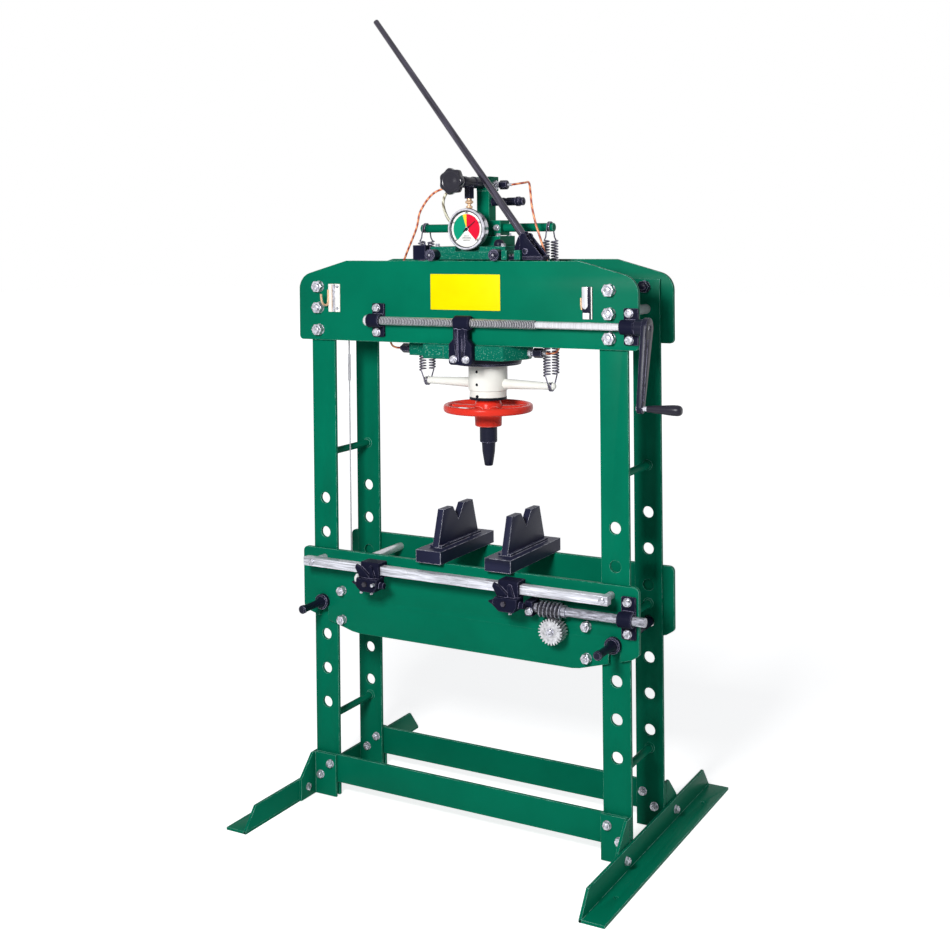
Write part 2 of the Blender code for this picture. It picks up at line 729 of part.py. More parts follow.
def build_foot(side, sign):
    """An angle iron along Y with bevelled ends and two floor holes."""
    inner = sign * FOOT_INNER_X
    web = sign * (FOOT_INNER_X + FOOT_THICKNESS)
    outer = sign * (FOOT_INNER_X + FOOT_FLANGE_WIDTH)
    section = [(inner, 0), (outer, 0), (outer, FOOT_THICKNESS), (web, FOOT_THICKNESS),
               (web, FOOT_FLANGE_HEIGHT), (inner, FOOT_FLANGE_HEIGHT)]
    foot = flat(f"foot_{side}", [section], 2 * FOOT_HALF_LENGTH, (0, 0, 0), "XZ", GREEN)
    hole_x = (web + outer) / 2
    for end_name, end in (("front", -1), ("rear", 1)):
        tip = end * (FOOT_HALF_LENGTH + CUT_OVERRUN)
        edge = end * FOOT_HALF_LENGTH
        shoulder = end * (FOOT_HALF_LENGTH - FOOT_END_CHAMFER)
        top = FOOT_FLANGE_HEIGHT + CUT_OVERRUN
        wedge = [(edge, FOOT_THICKNESS + SEAT_GAP), (shoulder, FOOT_FLANGE_HEIGHT),
                 (shoulder, top), (tip, top), (tip, FOOT_THICKNESS + SEAT_GAP)]
        cut(foot, flat(f"foot_bevel_{side}_{end_name}", [wedge], 4 * FOOT_THICKNESS,
                       (inner, 0, 0), "YZ"))
        cut(foot, cylinder(f"floor_hole_{side}_{end_name}", FOOT_HOLE_RADIUS,
                           FOOT_THICKNESS + 2 * CUT_OVERRUN,
                           (hole_x, end * FOOT_HOLE_Y, FOOT_THICKNESS / 2), "Z", facets=SMALL))


def build_bearing(name, x, y, z, width, height, flange, barrel, bore):
    """A black bearing: flange on the plate, barrel along X, bore for the shaft."""
    face = -PLATE_FACE_Y - SEAT_GAP
    block = box(name, (x - width / 2, face - flange, z - height / 2),
                (x + width / 2, face, z + height / 2), BLACK)
    web = box(name + "_web", (x - width / 3, y, z - barrel * 0.8),
              (x + width / 3, face - flange / 2, z + barrel * 0.8))
    body = cylinder(name + "_barrel", barrel, width, (x, y, z), "X")
    join(block, web, body)
    cut(block, cylinder(name + "_bore", bore, width + 2 * CUT_OVERRUN, (x, y, z), "X"))


def build_lead_screw():
    for side, x in (("left", SCREW_BEARING_LEFT_X), ("right", SCREW_BEARING_RIGHT_X)):
        build_bearing(f"screw_bearing_{side}", x, SCREW_Y, SCREW_Z, SCREW_BEARING_WIDTH,
                      SCREW_BEARING_HEIGHT, SCREW_BEARING_FLANGE,
                      SCREW_BEARING_BARREL_RADIUS, SCREW_PLAIN_RADIUS + SEAT_GAP)
    cap_end = SCREW_BEARING_LEFT_X - SCREW_BEARING_WIDTH / 2 - RUNNING_GAP
    thread_start = SCREW_BEARING_LEFT_X + SCREW_BEARING_WIDTH / 2 + RUNNING_GAP
    right_end = CRANK_START_X + CRANK_HUB_LENGTH
    profile = [
        (0, right_end), (SCREW_PLAIN_RADIUS, right_end),
        (SCREW_PLAIN_RADIUS, SCREW_THREAD_END_X), (SCREW_THREAD_RADIUS, SCREW_THREAD_END_X),
        (SCREW_THREAD_RADIUS, thread_start), (SCREW_PLAIN_RADIUS, thread_start),
        (SCREW_PLAIN_RADIUS, cap_end), (SCREW_CAP_RADIUS, cap_end),
        (SCREW_CAP_RADIUS, SCREW_LEFT_END_X), (0, SCREW_LEFT_END_X),
    ]
    turned("lead_screw", profile, (0, SCREW_Y, SCREW_Z), "X", STEEL, THREAD)


def build_crank():
    """Hub on the screw's end, a flat arm and a swelling grip, made as one forging."""
    tip_y = -CRANK_ARM_LENGTH * math.sin(CRANK_FORWARD_ANGLE)
    tip_z = -CRANK_ARM_LENGTH * math.cos(CRANK_FORWARD_ANGLE)
    hub_end = CRANK_ARM_END_X
    hub = cylinder("crank", CRANK_HUB_RADIUS, hub_end - CRANK_START_X,
                   ((hub_end + CRANK_START_X) / 2, SCREW_Y, SCREW_Z), "X", BLACK)
    along = math.atan2(tip_z, tip_y)
    half = CRANK_ARM_WIDTH / 2
    outline = (arc((0, 0), half, along + math.pi / 2, along + 3 * math.pi / 2, 5)
               + arc((tip_y, tip_z), half, along - math.pi / 2, along + math.pi / 2, 5))
    arm = flat("crank_arm", [outline], CRANK_ARM_THICKNESS,
               (hub_end - CRANK_ARM_THICKNESS / 2, SCREW_Y, SCREW_Z), "YZ")
    length = CRANK_GRIP_LENGTH
    neck, grip = CRANK_GRIP_NECK_RADIUS, CRANK_GRIP_RADIUS
    grip_shares = ((0.0, 1.0), (0.72, 1.0), (1.0, 0.93), (1.0, 0.78), (0.80, 0.48), (0.62, 0.22))
    profile = [(grip * r, length * h) for r, h in grip_shares]
    profile += [(neck, length * 0.08), (neck, -CRANK_ARM_THICKNESS / 2), (0, -CRANK_ARM_THICKNESS / 2)]
    handle = bake(turned("crank_grip", profile,
                         (hub_end, SCREW_Y + tip_y, SCREW_Z + tip_z), "X", steps=SMALL))
    bore = cylinder("crank_bore", SCREW_PLAIN_RADIUS + SEAT_GAP, 2 * (CRANK_HUB_LENGTH + SEAT_GAP),
                    (CRANK_START_X, SCREW_Y, SCREW_Z), "X", facets=THREAD)
    join(hub, arm, handle)
    cut(hub, bore)


def build_cylinder_body():
    """Lower flange, barrel and top plate of the carriage, bored for the ram and axles."""
    x = CARRIAGE_X
    side = LOWER_FLANGE_HALF_LENGTH
    depth = LOWER_FLANGE_HALF_DEPTH
    boss = side + FLANGE_BOSS_REACH
    port_rear = PORT_Y + PORT_BLOCK_WIDTH / 2
    right = [
        (side, -depth), (boss, FLANGE_BOSS_LEAN - depth), (boss, port_rear), (side, port_rear),
        (side, LOWER_FLANGE_SIDE_END_Y), (LOWER_FLANGE_REAR_HALF_LENGTH, depth),
    ]
    outline = right + [(-a, b) for a, b in reversed(right)]
    body = flat("cylinder_body", [outline], LOWER_FLANGE_THICKNESS,
                (x, 0, (LOWER_FLANGE_TOP_Z + LOWER_FLANGE_BOTTOM_Z) / 2), "XY", GREEN)
    barrel_bottom = LOWER_FLANGE_BOTTOM_Z + LOWER_FLANGE_THICKNESS / 2
    barrel_top = TOP_PLATE_BOTTOM_Z + TOP_PLATE_THICKNESS / 2
    barrel = cylinder("barrel", BARREL_RADIUS, barrel_top - barrel_bottom,
                      (x, 0, (barrel_top + barrel_bottom) / 2), "Z")
    top = box("top_plate", (x - TOP_PLATE_HALF_LENGTH, -TOP_PLATE_HALF_DEPTH, TOP_PLATE_BOTTOM_Z),
              (x + TOP_PLATE_HALF_LENGTH, TOP_PLATE_HALF_DEPTH, TOP_PLATE_TOP_Z))
    block_end = x - boss - PORT_BLOCK_REACH
    block = box("port_block", (block_end, PORT_Y - PORT_BLOCK_WIDTH / 2, PORT_Z - PORT_BLOCK_HEIGHT / 2),
                (x - side, port_rear, PORT_Z + PORT_BLOCK_HEIGHT / 2))
    stop_end = x - ROLLER_SPACING / 2 - ROLLER_RADIUS - END_STOP_STANDOFF
    stop_back = END_STOP_OVERLAP - TOP_PLATE_HALF_DEPTH
    stop_bottom = BEAM_TOP_Z + END_STOP_LIFT
    stop = box("end_stop", (stop_end - END_STOP_LENGTH, -PLATE_FACE_Y - END_STOP_PROUD, stop_bottom),
               (stop_end, stop_back, stop_bottom + END_STOP_HEIGHT))
    link = box("stop_link",
               (stop_end - END_STOP_STANDOFF, RUNNING_GAP - TOP_PLATE_HALF_DEPTH,
                TOP_PLATE_BOTTOM_Z + RUNNING_GAP),
               (stop_end + 2 * END_STOP_STANDOFF, stop_back - RUNNING_GAP,
                TOP_PLATE_TOP_Z - RUNNING_GAP))
    join(body, barrel, top, block, stop, link)
    for name, start, end in (("left", block_end - PORT_NUT_LEFT_LENGTH, block_end + CUT_OVERRUN),
                             ("right", x + boss - CUT_OVERRUN, x + boss + PORT_NUT_RIGHT_LENGTH)):
        join(body, cylinder(f"port_nut_{name}", PORT_NUT_RADIUS, end - start,
                            ((start + end) / 2, PORT_Y, PORT_Z), "X", facets=SMALL))
    bore_top = ROD_TOP_Z + RUNNING_GAP
    bore_bottom = LOWER_FLANGE_BOTTOM_Z - CUT_OVERRUN
    cut(body, cylinder("rod_bore", ROD_RADIUS + SEAT_GAP, bore_top - bore_bottom,
                       (x, 0, (bore_top + bore_bottom) / 2), "Z"))
    pocket = GAUGE_RADIUS + GAUGE_CLEARANCE
    chord = math.sqrt(pocket ** 2 - (GAUGE_Z - TOP_PLATE_TOP_Z) ** 2)
    cut(body, box("gauge_pocket",
                  (x - chord, -TOP_PLATE_HALF_DEPTH - CUT_OVERRUN, GAUGE_Z - pocket),
                  (x + chord, GAUGE_FRONT_Y + GAUGE_DEPTH + GAUGE_CLEARANCE,
                   TOP_PLATE_TOP_Z + CUT_OVERRUN)))
    for side, sign in sides():
        cut(body, cylinder(f"axle_bore_{side}", AXLE_RADIUS + SEAT_GAP,
                           2 * TOP_PLATE_HALF_DEPTH + 2 * CUT_OVERRUN,
                           (x + sign * ROLLER_SPACING / 2, 0, BEAM_TOP_Z + SEAT_GAP + ROLLER_RADIUS),
                           "Y", facets=SMALL))


def build_wheelsets():
    """Each axle with its two rollers, which run on the beam plates' top edges."""
    inner = PLATE_Y - ROLLER_WIDTH / 2
    outer = PLATE_Y + ROLLER_WIDTH / 2 + ROLLER_PROUD
    end = outer + AXLE_END_LENGTH
    half = [(0, end), (AXLE_RADIUS, end), (AXLE_RADIUS, outer), (ROLLER_RADIUS, outer),
            (ROLLER_RADIUS, inner), (AXLE_RADIUS, inner)]
    profile = half + [(r, -y) for r, y in reversed(half)]
    for side, sign in sides():
        turned(f"roller_axle_{side}", profile,
               (CARRIAGE_X + sign * ROLLER_SPACING / 2, 0, BEAM_TOP_Z + SEAT_GAP + ROLLER_RADIUS),
               "Y", BLACK, THREAD)


def build_gland_ring():
    ring("gland_ring", [
        (GLAND_RADIUS, 0), (GLAND_RADIUS, -GLAND_HEIGHT),
        (ROD_RADIUS + SEAT_GAP, -GLAND_HEIGHT), (ROD_RADIUS + SEAT_GAP, 0),
    ], (CARRIAGE_X, 0, GLAND_TOP_Z), "Z", BLACK, FINE)


def build_nut_bracket():
    """The nut on the lead screw and the casting that drags the carriage along."""
    neck_z = BRACKET_LOBE_Z + BRACKET_LOBE_HALF_WIDTH - BRACKET_NECK_HALF_WIDTH
    half = [(BRACKET_LOBE_HALF_WIDTH, BRACKET_BOTTOM_Z), (BRACKET_LOBE_HALF_WIDTH, BRACKET_LOBE_Z),
            (BRACKET_NECK_HALF_WIDTH, neck_z), (BRACKET_NECK_HALF_WIDTH, SCREW_Z)]
    outline = half + [(-x, z) for x, z in reversed(half)]
    corners = [BRACKET_CORNER_RADIUS] * len(outline)
    front = -LOWER_FLANGE_HALF_DEPTH - SEAT_GAP
    plate = flat("nut_bracket", [rounded(outline, corners)], BRACKET_DEPTH,
                 (BRACKET_X, front - BRACKET_DEPTH / 2, 0), "XZ", BLACK)
    nut = cylinder("nut", NUT_RADIUS, NUT_LENGTH, (NUT_X, SCREW_Y, SCREW_Z), "X")
    join(plate, nut)
    cut(plate, cylinder("nut_bore", SCREW_THREAD_RADIUS + SEAT_GAP, 2 * NUT_LENGTH,
                        (NUT_X, SCREW_Y, SCREW_Z), "X", facets=THREAD))


def build_ram():
    """Polished rod, white sleeve and cross arms, bored for the threaded nose."""
    x = CARRIAGE_X
    sleeve_top = GLAND_TOP_Z - GLAND_HEIGHT - SEAT_GAP
    profile = [
        (0, ROD_TOP_Z), (ROD_RADIUS, ROD_TOP_Z), (ROD_RADIUS, sleeve_top),
        (SLEEVE_RADIUS, sleeve_top), (SLEEVE_RADIUS, SLEEVE_BOTTOM_Z), (0, SLEEVE_BOTTOM_Z),
    ]
    ram = bake(turned("ram_sleeve", profile, (x, 0, 0), "Z", WHITE, ROUND))
    arms = cylinder("arms", ARM_RADIUS, 2 * ARM_HALF_LENGTH, (x, 0, ARM_Z), "X", facets=SMALL)
    join(ram, arms)
    bottom = SLEEVE_BOTTOM_Z - CUT_OVERRUN
    cut(ram, cylinder("spindle_bore", NOSE_THREAD_RADIUS + SEAT_GAP, SPINDLE_BORE_TOP_Z - bottom,
                      (x, 0, (SPINDLE_BORE_TOP_Z + bottom) / 2), "Z"))


def build_handwheel():
    x = CARRIAGE_X
    top = SLEEVE_BOTTOM_Z - SEAT_GAP - WHEEL_RIM_Z
    bottom = WHEEL_HUB_BOTTOM_Z - WHEEL_RIM_Z
    bore = NOSE_THREAD_RADIUS + SEAT_GAP
    hub = bake(ring("handwheel", [(WHEEL_HUB_RADIUS, top), (WHEEL_HUB_RADIUS, bottom),
                                  (bore, bottom), (bore, top)],
                    (x, 0, WHEEL_RIM_Z), "Z", RED, ROUND))
    inner = WHEEL_RADIUS - WHEEL_RIM_WIDTH
    half = WHEEL_RIM_HEIGHT / 2
    corner = WHEEL_RIM_WIDTH / 3
    section = [
        (WHEEL_RADIUS - corner, half), (WHEEL_RADIUS, half - corner), (WHEEL_RADIUS, corner - half),
        (WHEEL_RADIUS - corner, -half), (inner, -half), (inner, half),
    ]
    rim = bake(ring("rim", section, (x, 0, WHEEL_RIM_Z), "Z", steps=FINE))
    join(hub, rim)
    start = WHEEL_HUB_RADIUS - CUT_OVERRUN
    end = inner + WHEEL_RIM_WIDTH / 2
    for spoke in range(WHEEL_SPOKES):
        angle = 2 * math.pi * (spoke + 0.5) / WHEEL_SPOKES
        middle = (start + end) / 2
        arm = add_piece(f"spoke_{spoke}", box_mesh("spoke", (end - start, WHEEL_SPOKE_WIDTH,
                                                             WHEEL_SPOKE_HEIGHT)), None,
                        (x + middle * math.cos(angle), middle * math.sin(angle), WHEEL_RIM_Z),
                        (0, 0, angle))
        join(hub, arm)


def build_nose():
    shoulder = WHEEL_HUB_BOTTOM_Z - SEAT_GAP
    step = shoulder - NOSE_UPPER_LENGTH
    taper = step - NOSE_LOWER_LENGTH
    tip = taper - NOSE_TAPER_LENGTH
    profile = [
        (0, NOSE_THREAD_TOP_Z), (NOSE_THREAD_RADIUS, NOSE_THREAD_TOP_Z),
        (NOSE_THREAD_RADIUS, shoulder), (NOSE_UPPER_RADIUS, shoulder), (NOSE_UPPER_RADIUS, step),
        (NOSE_LOWER_RADIUS, step), (NOSE_LOWER_RADIUS, taper), (NOSE_TIP_RADIUS, tip), (0, tip),
    ]
    turned("nose_spindle", profile, (CARRIAGE_X, 0, 0), "Z", BLACK)


def spring_route(side, face):
    """One unbroken wire: hook over the bar, coil, hook under the ram's arm."""
    radius = SPRING_OUTER_RADIUS - SPRING_WIRE_RADIUS
    x = CARRIAGE_X + side * SPRING_X + face * SPRING_HOOK_STAGGER
    y = face * SPRING_Y
    points = []
    over = SPRING_BAR_RADIUS + SPRING_WIRE_RADIUS + SPRING_HOOK_GAP
    hook = SPRING_HOOK_POINTS - 1
    for i in range(SPRING_HOOK_POINTS):
        angle = math.pi - SPRING_HOOK_TURN * (1 - i / hook)
        points.append((x, -face * over * math.cos(angle), SPRING_BAR_Z + over * math.sin(angle)))
    points.append((x, y, SPRING_COIL_TOP_Z + radius))
    count = SPRING_CURLS * SPRING_CURL_POINTS
    for i in range(count + 1):
        angle = 2 * math.pi * i / SPRING_CURL_POINTS
        share = i / count
        z = SPRING_COIL_TOP_Z + (SPRING_COIL_BOTTOM_Z - SPRING_COIL_TOP_Z) * share
        points.append((x + radius * math.sin(angle), y + face * radius * math.cos(angle), z))
    under = ARM_RADIUS + SPRING_WIRE_RADIUS + SPRING_HOOK_GAP
    for i in range(SPRING_HOOK_POINTS):
        angle = math.pi + SPRING_HOOK_TURN * i / hook
        points.append((x, -face * under * math.cos(angle), ARM_Z + under * math.sin(angle)))
    return points


def least_gap(points, radius, apart):
    """Smallest clearance between turns of one wire, measured on its points."""
    wire = [Vector(p) for p in points]
    return min(
        (wire[i] - wire[j]).length
        for i in range(len(wire)) for j in range(i + apart, len(wire))
    ) - 2 * radius


def build_springs():
    cylinder("spring_bar", SPRING_BAR_RADIUS, 2 * SPRING_BAR_HALF_LENGTH,
             (CARRIAGE_X, 0, SPRING_BAR_Z), "X", GREEN, SMALL)
    for side, sign in sides():
        for face_name, face in (("front", -1), ("rear", 1)):
            points = spring_route(sign, face)
            tube(f"spring_{side}_{face_name}", points, SPRING_WIRE_RADIUS, STEEL, 1)
            gap = least_gap(points, SPRING_WIRE_RADIUS, SPRING_CURL_POINTS // 2)
            print(f"spring_{side}_{face_name}: least gap to itself {gap:.4f} m")


def build_column():
    """Square column on the carriage with a wide foot, a bar boss and a head block."""
    x = CARRIAGE_X
    bottom = TOP_PLATE_TOP_Z + SEAT_GAP
    half = COLUMN_SIDE / 2
    head = COLUMN_HEAD_SIDE / 2
    column = box("pump_column", (x - half, -half, bottom), (x + half, half, COLUMN_TOP_Z), GREEN)
    foot = box("column_foot", (x - COLUMN_FOOT_HALF_LENGTH, -COLUMN_FOOT_HALF_DEPTH, bottom),
               (x + COLUMN_FOOT_HALF_LENGTH, COLUMN_FOOT_HALF_DEPTH, bottom + COLUMN_FOOT_HEIGHT))
    top = box("column_head", (x - half, -half, COLUMN_HEAD_BOTTOM_Z),
              (x + head, head, COLUMN_TOP_Z + SEAT_GAP))
    boss = box("bar_boss",
               (x - COLUMN_BOSS_BACK, -COLUMN_BOSS_DEPTH / 2, SPRING_BAR_Z - COLUMN_BOSS_HEIGHT / 2),
               (x + COLUMN_BOSS_REACH, COLUMN_BOSS_DEPTH / 2, SPRING_BAR_Z + COLUMN_BOSS_HEIGHT / 2))
    join(column, foot, top, boss)
    cut(column, cylinder("bar_bore", SPRING_BAR_RADIUS + SEAT_GAP, 2 * SPRING_BAR_HALF_LENGTH,
                         (x, 0, SPRING_BAR_Z), "X", facets=SMALL))


def build_tee_valve():
    start = -COLUMN_SIDE / 2 - SEAT_GAP
    body = cylinder("tee_valve", TEE_RADIUS, start - TEE_FRONT_Y,
                    (CARRIAGE_X, (start + TEE_FRONT_Y) / 2, VALVE_Z), "Y", BLACK, THREAD)
    branch = cylinder("tee_branch", TEE_BRANCH_RADIUS, VALVE_Z - TEE_BRANCH_BOTTOM_Z,
                      (CARRIAGE_X, GAUGE_STEM_Y, (VALVE_Z + TEE_BRANCH_BOTTOM_Z) / 2), "Z",
                      facets=SMALL)
    join(body, branch)


def build_valve_knob():
    outline = []
    count = KNOB_LOBES * 4
    for i in range(count):
        angle = 2 * math.pi * i / count
        radius = KNOB_RADIUS - KNOB_LOBE_DEPTH + KNOB_LOBE_DEPTH * math.cos(KNOB_LOBES * angle)
        outline.append((radius * math.cos(angle), radius * math.sin(angle)))
    back = KNOB_FRONT_Y + KNOB_THICKNESS
    knob = flat("valve_knob", [outline], KNOB_THICKNESS,
                (CARRIAGE_X, KNOB_FRONT_Y + KNOB_THICKNESS / 2, VALVE_Z), "XZ", BLACK)
    end = TEE_FRONT_Y - SEAT_GAP
    start = back - CUT_OVERRUN
    join(knob, cylinder("knob_neck", KNOB_NECK_RADIUS, end - start,
                        (CARRIAGE_X, (start + end) / 2, VALVE_Z), "Y", facets=SMALL))


def build_gauge():
    """Pressure gauge: case with a recessed dial, a stem up to the tee, and the needle."""
    rim = GAUGE_RADIUS - GAUGE_BEZEL_WIDTH
    dial = -GAUGE_DIAL_RECESS
    profile = [
        (0, dial), (rim, dial), (rim, 0), (GAUGE_RADIUS, 0), (GAUGE_RADIUS, -GAUGE_DEPTH),
        (0, -GAUGE_DEPTH),
    ]
    case = bake(turned("gauge_case", profile, (CARRIAGE_X, GAUGE_FRONT_Y, GAUGE_Z), "Y", STEEL, FINE))
    top = TEE_BRANCH_BOTTOM_Z - SEAT_GAP
    bottom = GAUGE_Z + GAUGE_RADIUS - CUT_OVERRUN
    join(case, cylinder("gauge_stem", GAUGE_STEM_RADIUS, top - bottom,
                        (CARRIAGE_X, GAUGE_STEM_Y, (top + bottom) / 2), "Z", facets=SMALL))
    half = NEEDLE_WIDTH / 2
    outline = [(-half / 2, -NEEDLE_TAIL), (half / 2, -NEEDLE_TAIL), (half, 0),
               (half / 4, NEEDLE_LENGTH), (-half / 4, NEEDLE_LENGTH), (-half, 0)]
    turn = [(u * math.cos(NEEDLE_ANGLE) - v * math.sin(NEEDLE_ANGLE),
             u * math.sin(NEEDLE_ANGLE) + v * math.cos(NEEDLE_ANGLE)) for u, v in outline]
    dial_y = GAUGE_FRONT_Y + GAUGE_DIAL_RECESS
    needle_y = dial_y - GAUGE_DIAL_RECESS / 2
    needle = flat("gauge_needle", [turn], NEEDLE_THICKNESS, (CARRIAGE_X, needle_y, GAUGE_Z),
                  "XZ", BLACK)
    spindle_end = dial_y - SEAT_GAP
    spindle_start = needle_y - NEEDLE_THICKNESS
    join(needle, cylinder("needle_spindle", GAUGE_SPINDLE_RADIUS, spindle_end - spindle_start,
                          (CARRIAGE_X, (spindle_end + spindle_start) / 2, GAUGE_Z), "Y", facets=SMALL))


def build_release_valve():
    start = CARRIAGE_X + COLUMN_SIDE / 2 + SEAT_GAP
    length = RELEASE_END_X - start
    collar_end = length - RELEASE_CAP_LENGTH
    collar_start = collar_end - RELEASE_COLLAR_LENGTH
    profile = [
        (0, length), (RELEASE_RADIUS, length), (RELEASE_RADIUS, collar_end),
        (RELEASE_COLLAR_RADIUS, collar_end), (RELEASE_COLLAR_RADIUS, collar_start),
        (RELEASE_RADIUS, collar_start), (RELEASE_RADIUS, 0), (0, 0),
    ]
    turned("release_valve", profile, (start, 0, RELEASE_Z), "X", BLACK, SMALL)


# Routes of the rigid pipes and the short hose, chosen by hand
PIPE_LEFT_ROUTE = (
    (-0.004, -0.060, 1.776), (-0.050, -0.070, 1.771), (-0.104, -0.079, 1.752),
    (-0.143, -0.084, 1.704), (-0.158, -0.085, 1.652), (-0.202, -0.082, 1.562),
    (-0.244, -0.072, 1.455), (-0.266, -0.062, 1.378), (-0.269, -0.057, 1.342),
    (-0.261, -0.057, 1.319), (-0.246, -0.057, 1.3122), (-0.2303, -0.057, 1.312),
)
PIPE_RIGHT_ROUTE = (
    (0.0493, 0.000, 1.774), (0.100, 0.000, 1.774), (0.150, -0.011, 1.778),
    (0.178, -0.040, 1.777), (0.1905, -0.056, 1.754), (0.197, -0.060, 1.711),
    (0.2085, -0.060, 1.663), (0.225, -0.060, 1.614), (0.2415, -0.060, 1.560),
    (0.2525, -0.059, 1.500), (0.2635, -0.058, 1.440),
    (0.276, -0.057, 1.372), (0.277, -0.057, 1.340), (0.268, -0.057, 1.319),
    (0.252, -0.057, 1.3122), (0.2353, -0.057, 1.312),
)
HOSE_ROUTE = (
    (0.004, -0.128, 1.770), (-0.030, -0.128, 1.752), (-0.052, -0.112, 1.725),
    (-0.058, -0.085, 1.690), (-0.046, -0.060, 1.650), (-0.040, -0.052, 1.6036),
)


def build_pipes():
    spacing = 0.026
    tube("pipe_left", smooth_route(PIPE_LEFT_ROUTE, spacing), PIPE_RADIUS, COPPER, 1)
    tube("pipe_right", smooth_route(PIPE_RIGHT_ROUTE, spacing), PIPE_RADIUS, COPPER, 1)
    tube("drain_hose", smooth_route(HOSE_ROUTE, spacing), HOSE_RADIUS, HOSE, 1)


def build_pump():
    """Bracket on the carriage's end, forked lever with its socket, plunger and handle."""
    ear_y = max(LEVER_GAP / 2 + LEVER_THICKNESS, SOCKET_RADIUS) + RUNNING_GAP
    outer_y = ear_y + PUMP_EAR_THICKNESS
    base_top = PUMP_BRACKET_BOTTOM_Z + PUMP_BASE_HEIGHT
    plunger_x = PUMP_PIVOT_X - PLUNGER_ARM
    bracket = box("pump_bracket",
                  (PUMP_BRACKET_LEFT_X, PUMP_Y - outer_y, PUMP_BRACKET_BOTTOM_Z),
                  (PUMP_BRACKET_RIGHT_X, PUMP_Y + outer_y, base_top), BLACK)
    foot = base_top - PUMP_BASE_HEIGHT / 2
    peak = (PUMP_EAR_PEAK_X, PUMP_EAR_PEAK_Z)
    outline = [(PUMP_PIVOT_X - PUMP_EAR_WIDTH / 2, foot), (PUMP_BRACKET_RIGHT_X, foot)]
    outline += arc(peak, PUMP_EAR_PEAK_RADIUS, 0, math.pi, 6)
    for name, sign in (("near", -1), ("far", 1)):
        ear = flat(f"pump_ear_{name}", [outline], PUMP_EAR_THICKNESS,
                   (0, PUMP_Y + sign * (ear_y + PUMP_EAR_THICKNESS / 2), 0), "XZ")
        join(bracket, ear)
    pin = cylinder("pump_pin", PUMP_PIN_RADIUS, 2 * outer_y - PUMP_EAR_THICKNESS,
                   (PUMP_PIVOT_X, PUMP_Y, PUMP_PIVOT_Z), "Y", facets=SMALL)
    join(bracket, pin)
    guide_depth = PUMP_BASE_HEIGHT + 2 * CUT_OVERRUN
    cut(bracket, cylinder("plunger_bore", PLUNGER_RADIUS + SEAT_GAP, guide_depth,
                          (plunger_x, PUMP_Y, base_top - PUMP_BASE_HEIGHT / 2), "Z", facets=SMALL))
    build_lever()
    plunger_bottom = PUMP_BRACKET_BOTTOM_Z
    cylinder("pump_plunger", PLUNGER_RADIUS, PLUNGER_LENGTH,
             (plunger_x, PUMP_Y, plunger_bottom + PLUNGER_LENGTH / 2), "Z", STEEL, SMALL)


def build_lever():
    """Two cheeks on the pivot pin carry the socket that takes the handle."""
    up = Vector((-math.sin(HANDLE_TILT), math.cos(HANDLE_TILT)))
    side = Vector((math.cos(HANDLE_TILT), math.sin(HANDLE_TILT)))
    foot = side * HANDLE_OFFSET
    top = foot + up * SOCKET_LENGTH
    reach = PLUNGER_ARM + PUMP_PIN_RADIUS
    outline = [
        (-reach, -PUMP_PIN_RADIUS), (0, -PUMP_PIN_RADIUS * 2), tuple(foot + side * SOCKET_RADIUS * 0.7),
        tuple(top + side * SOCKET_RADIUS * 0.7), tuple(top - side * SOCKET_RADIUS * 0.7),
        (-reach, PUMP_PIN_RADIUS * 2),
    ]
    cheeks = []
    for name, sign in (("near", -1), ("far", 1)):
        cheeks.append(flat("pump_lever" if sign < 0 else "lever_cheek_far", [outline], LEVER_THICKNESS,
                           (PUMP_PIVOT_X, PUMP_Y + sign * (LEVER_GAP + LEVER_THICKNESS) / 2,
                            PUMP_PIVOT_Z), "XZ", BLACK))
    lever = cheeks[0]
    pivot = Vector((PUMP_PIVOT_X, PUMP_PIVOT_Z))
    start = pivot + foot + up * SOCKET_LENGTH / 3
    end = pivot + top
    middle = (start + end) / 2
    socket = cylinder("socket", SOCKET_RADIUS, (end - start).length, (middle.x, PUMP_Y, middle.y),
                      "Z", rotation=(0, -HANDLE_TILT, 0), facets=THREAD)
    join(lever, cheeks[1], socket)
    floor = start + up * SOCKET_FLOOR
    hole_end = end + up * CUT_OVERRUN
    hole = (floor + hole_end) / 2
    cut(lever, cylinder("socket_bore", HANDLE_BOTTOM_RADIUS + SEAT_GAP, (hole_end - floor).length,
                        (hole.x, PUMP_Y, hole.y), "Z", rotation=(0, -HANDLE_TILT, 0), facets=THREAD))
    cut(lever, cylinder("lever_bore", PUMP_PIN_RADIUS + SEAT_GAP, 2 * LEVER_GAP + 4 * LEVER_THICKNESS,
                        (PUMP_PIVOT_X, PUMP_Y, PUMP_PIVOT_Z), "Y", facets=SMALL))
    bottom = floor + up * SEAT_GAP
    profile = [(0, HANDLE_LENGTH), (HANDLE_TOP_RADIUS, HANDLE_LENGTH),
               (HANDLE_BOTTOM_RADIUS, SOCKET_LENGTH), (HANDLE_BOTTOM_RADIUS, 0), (0, 0)]
    swing = bpy.data.objects.new("handle_pivot", None)
    swing.location = (PUMP_PIVOT_X, PUMP_Y, PUMP_PIVOT_Z)
    swing.parent = ASSEMBLY
    PRESS.objects.link(swing)
    seat = bottom - pivot
    handle = turned("pump_handle", profile, (seat.x, 0, seat.y), "Z", GUNMETAL, SMALL)
    handle.rotation_euler = (0, -HANDLE_TILT, 0)
    handle.parent = swing


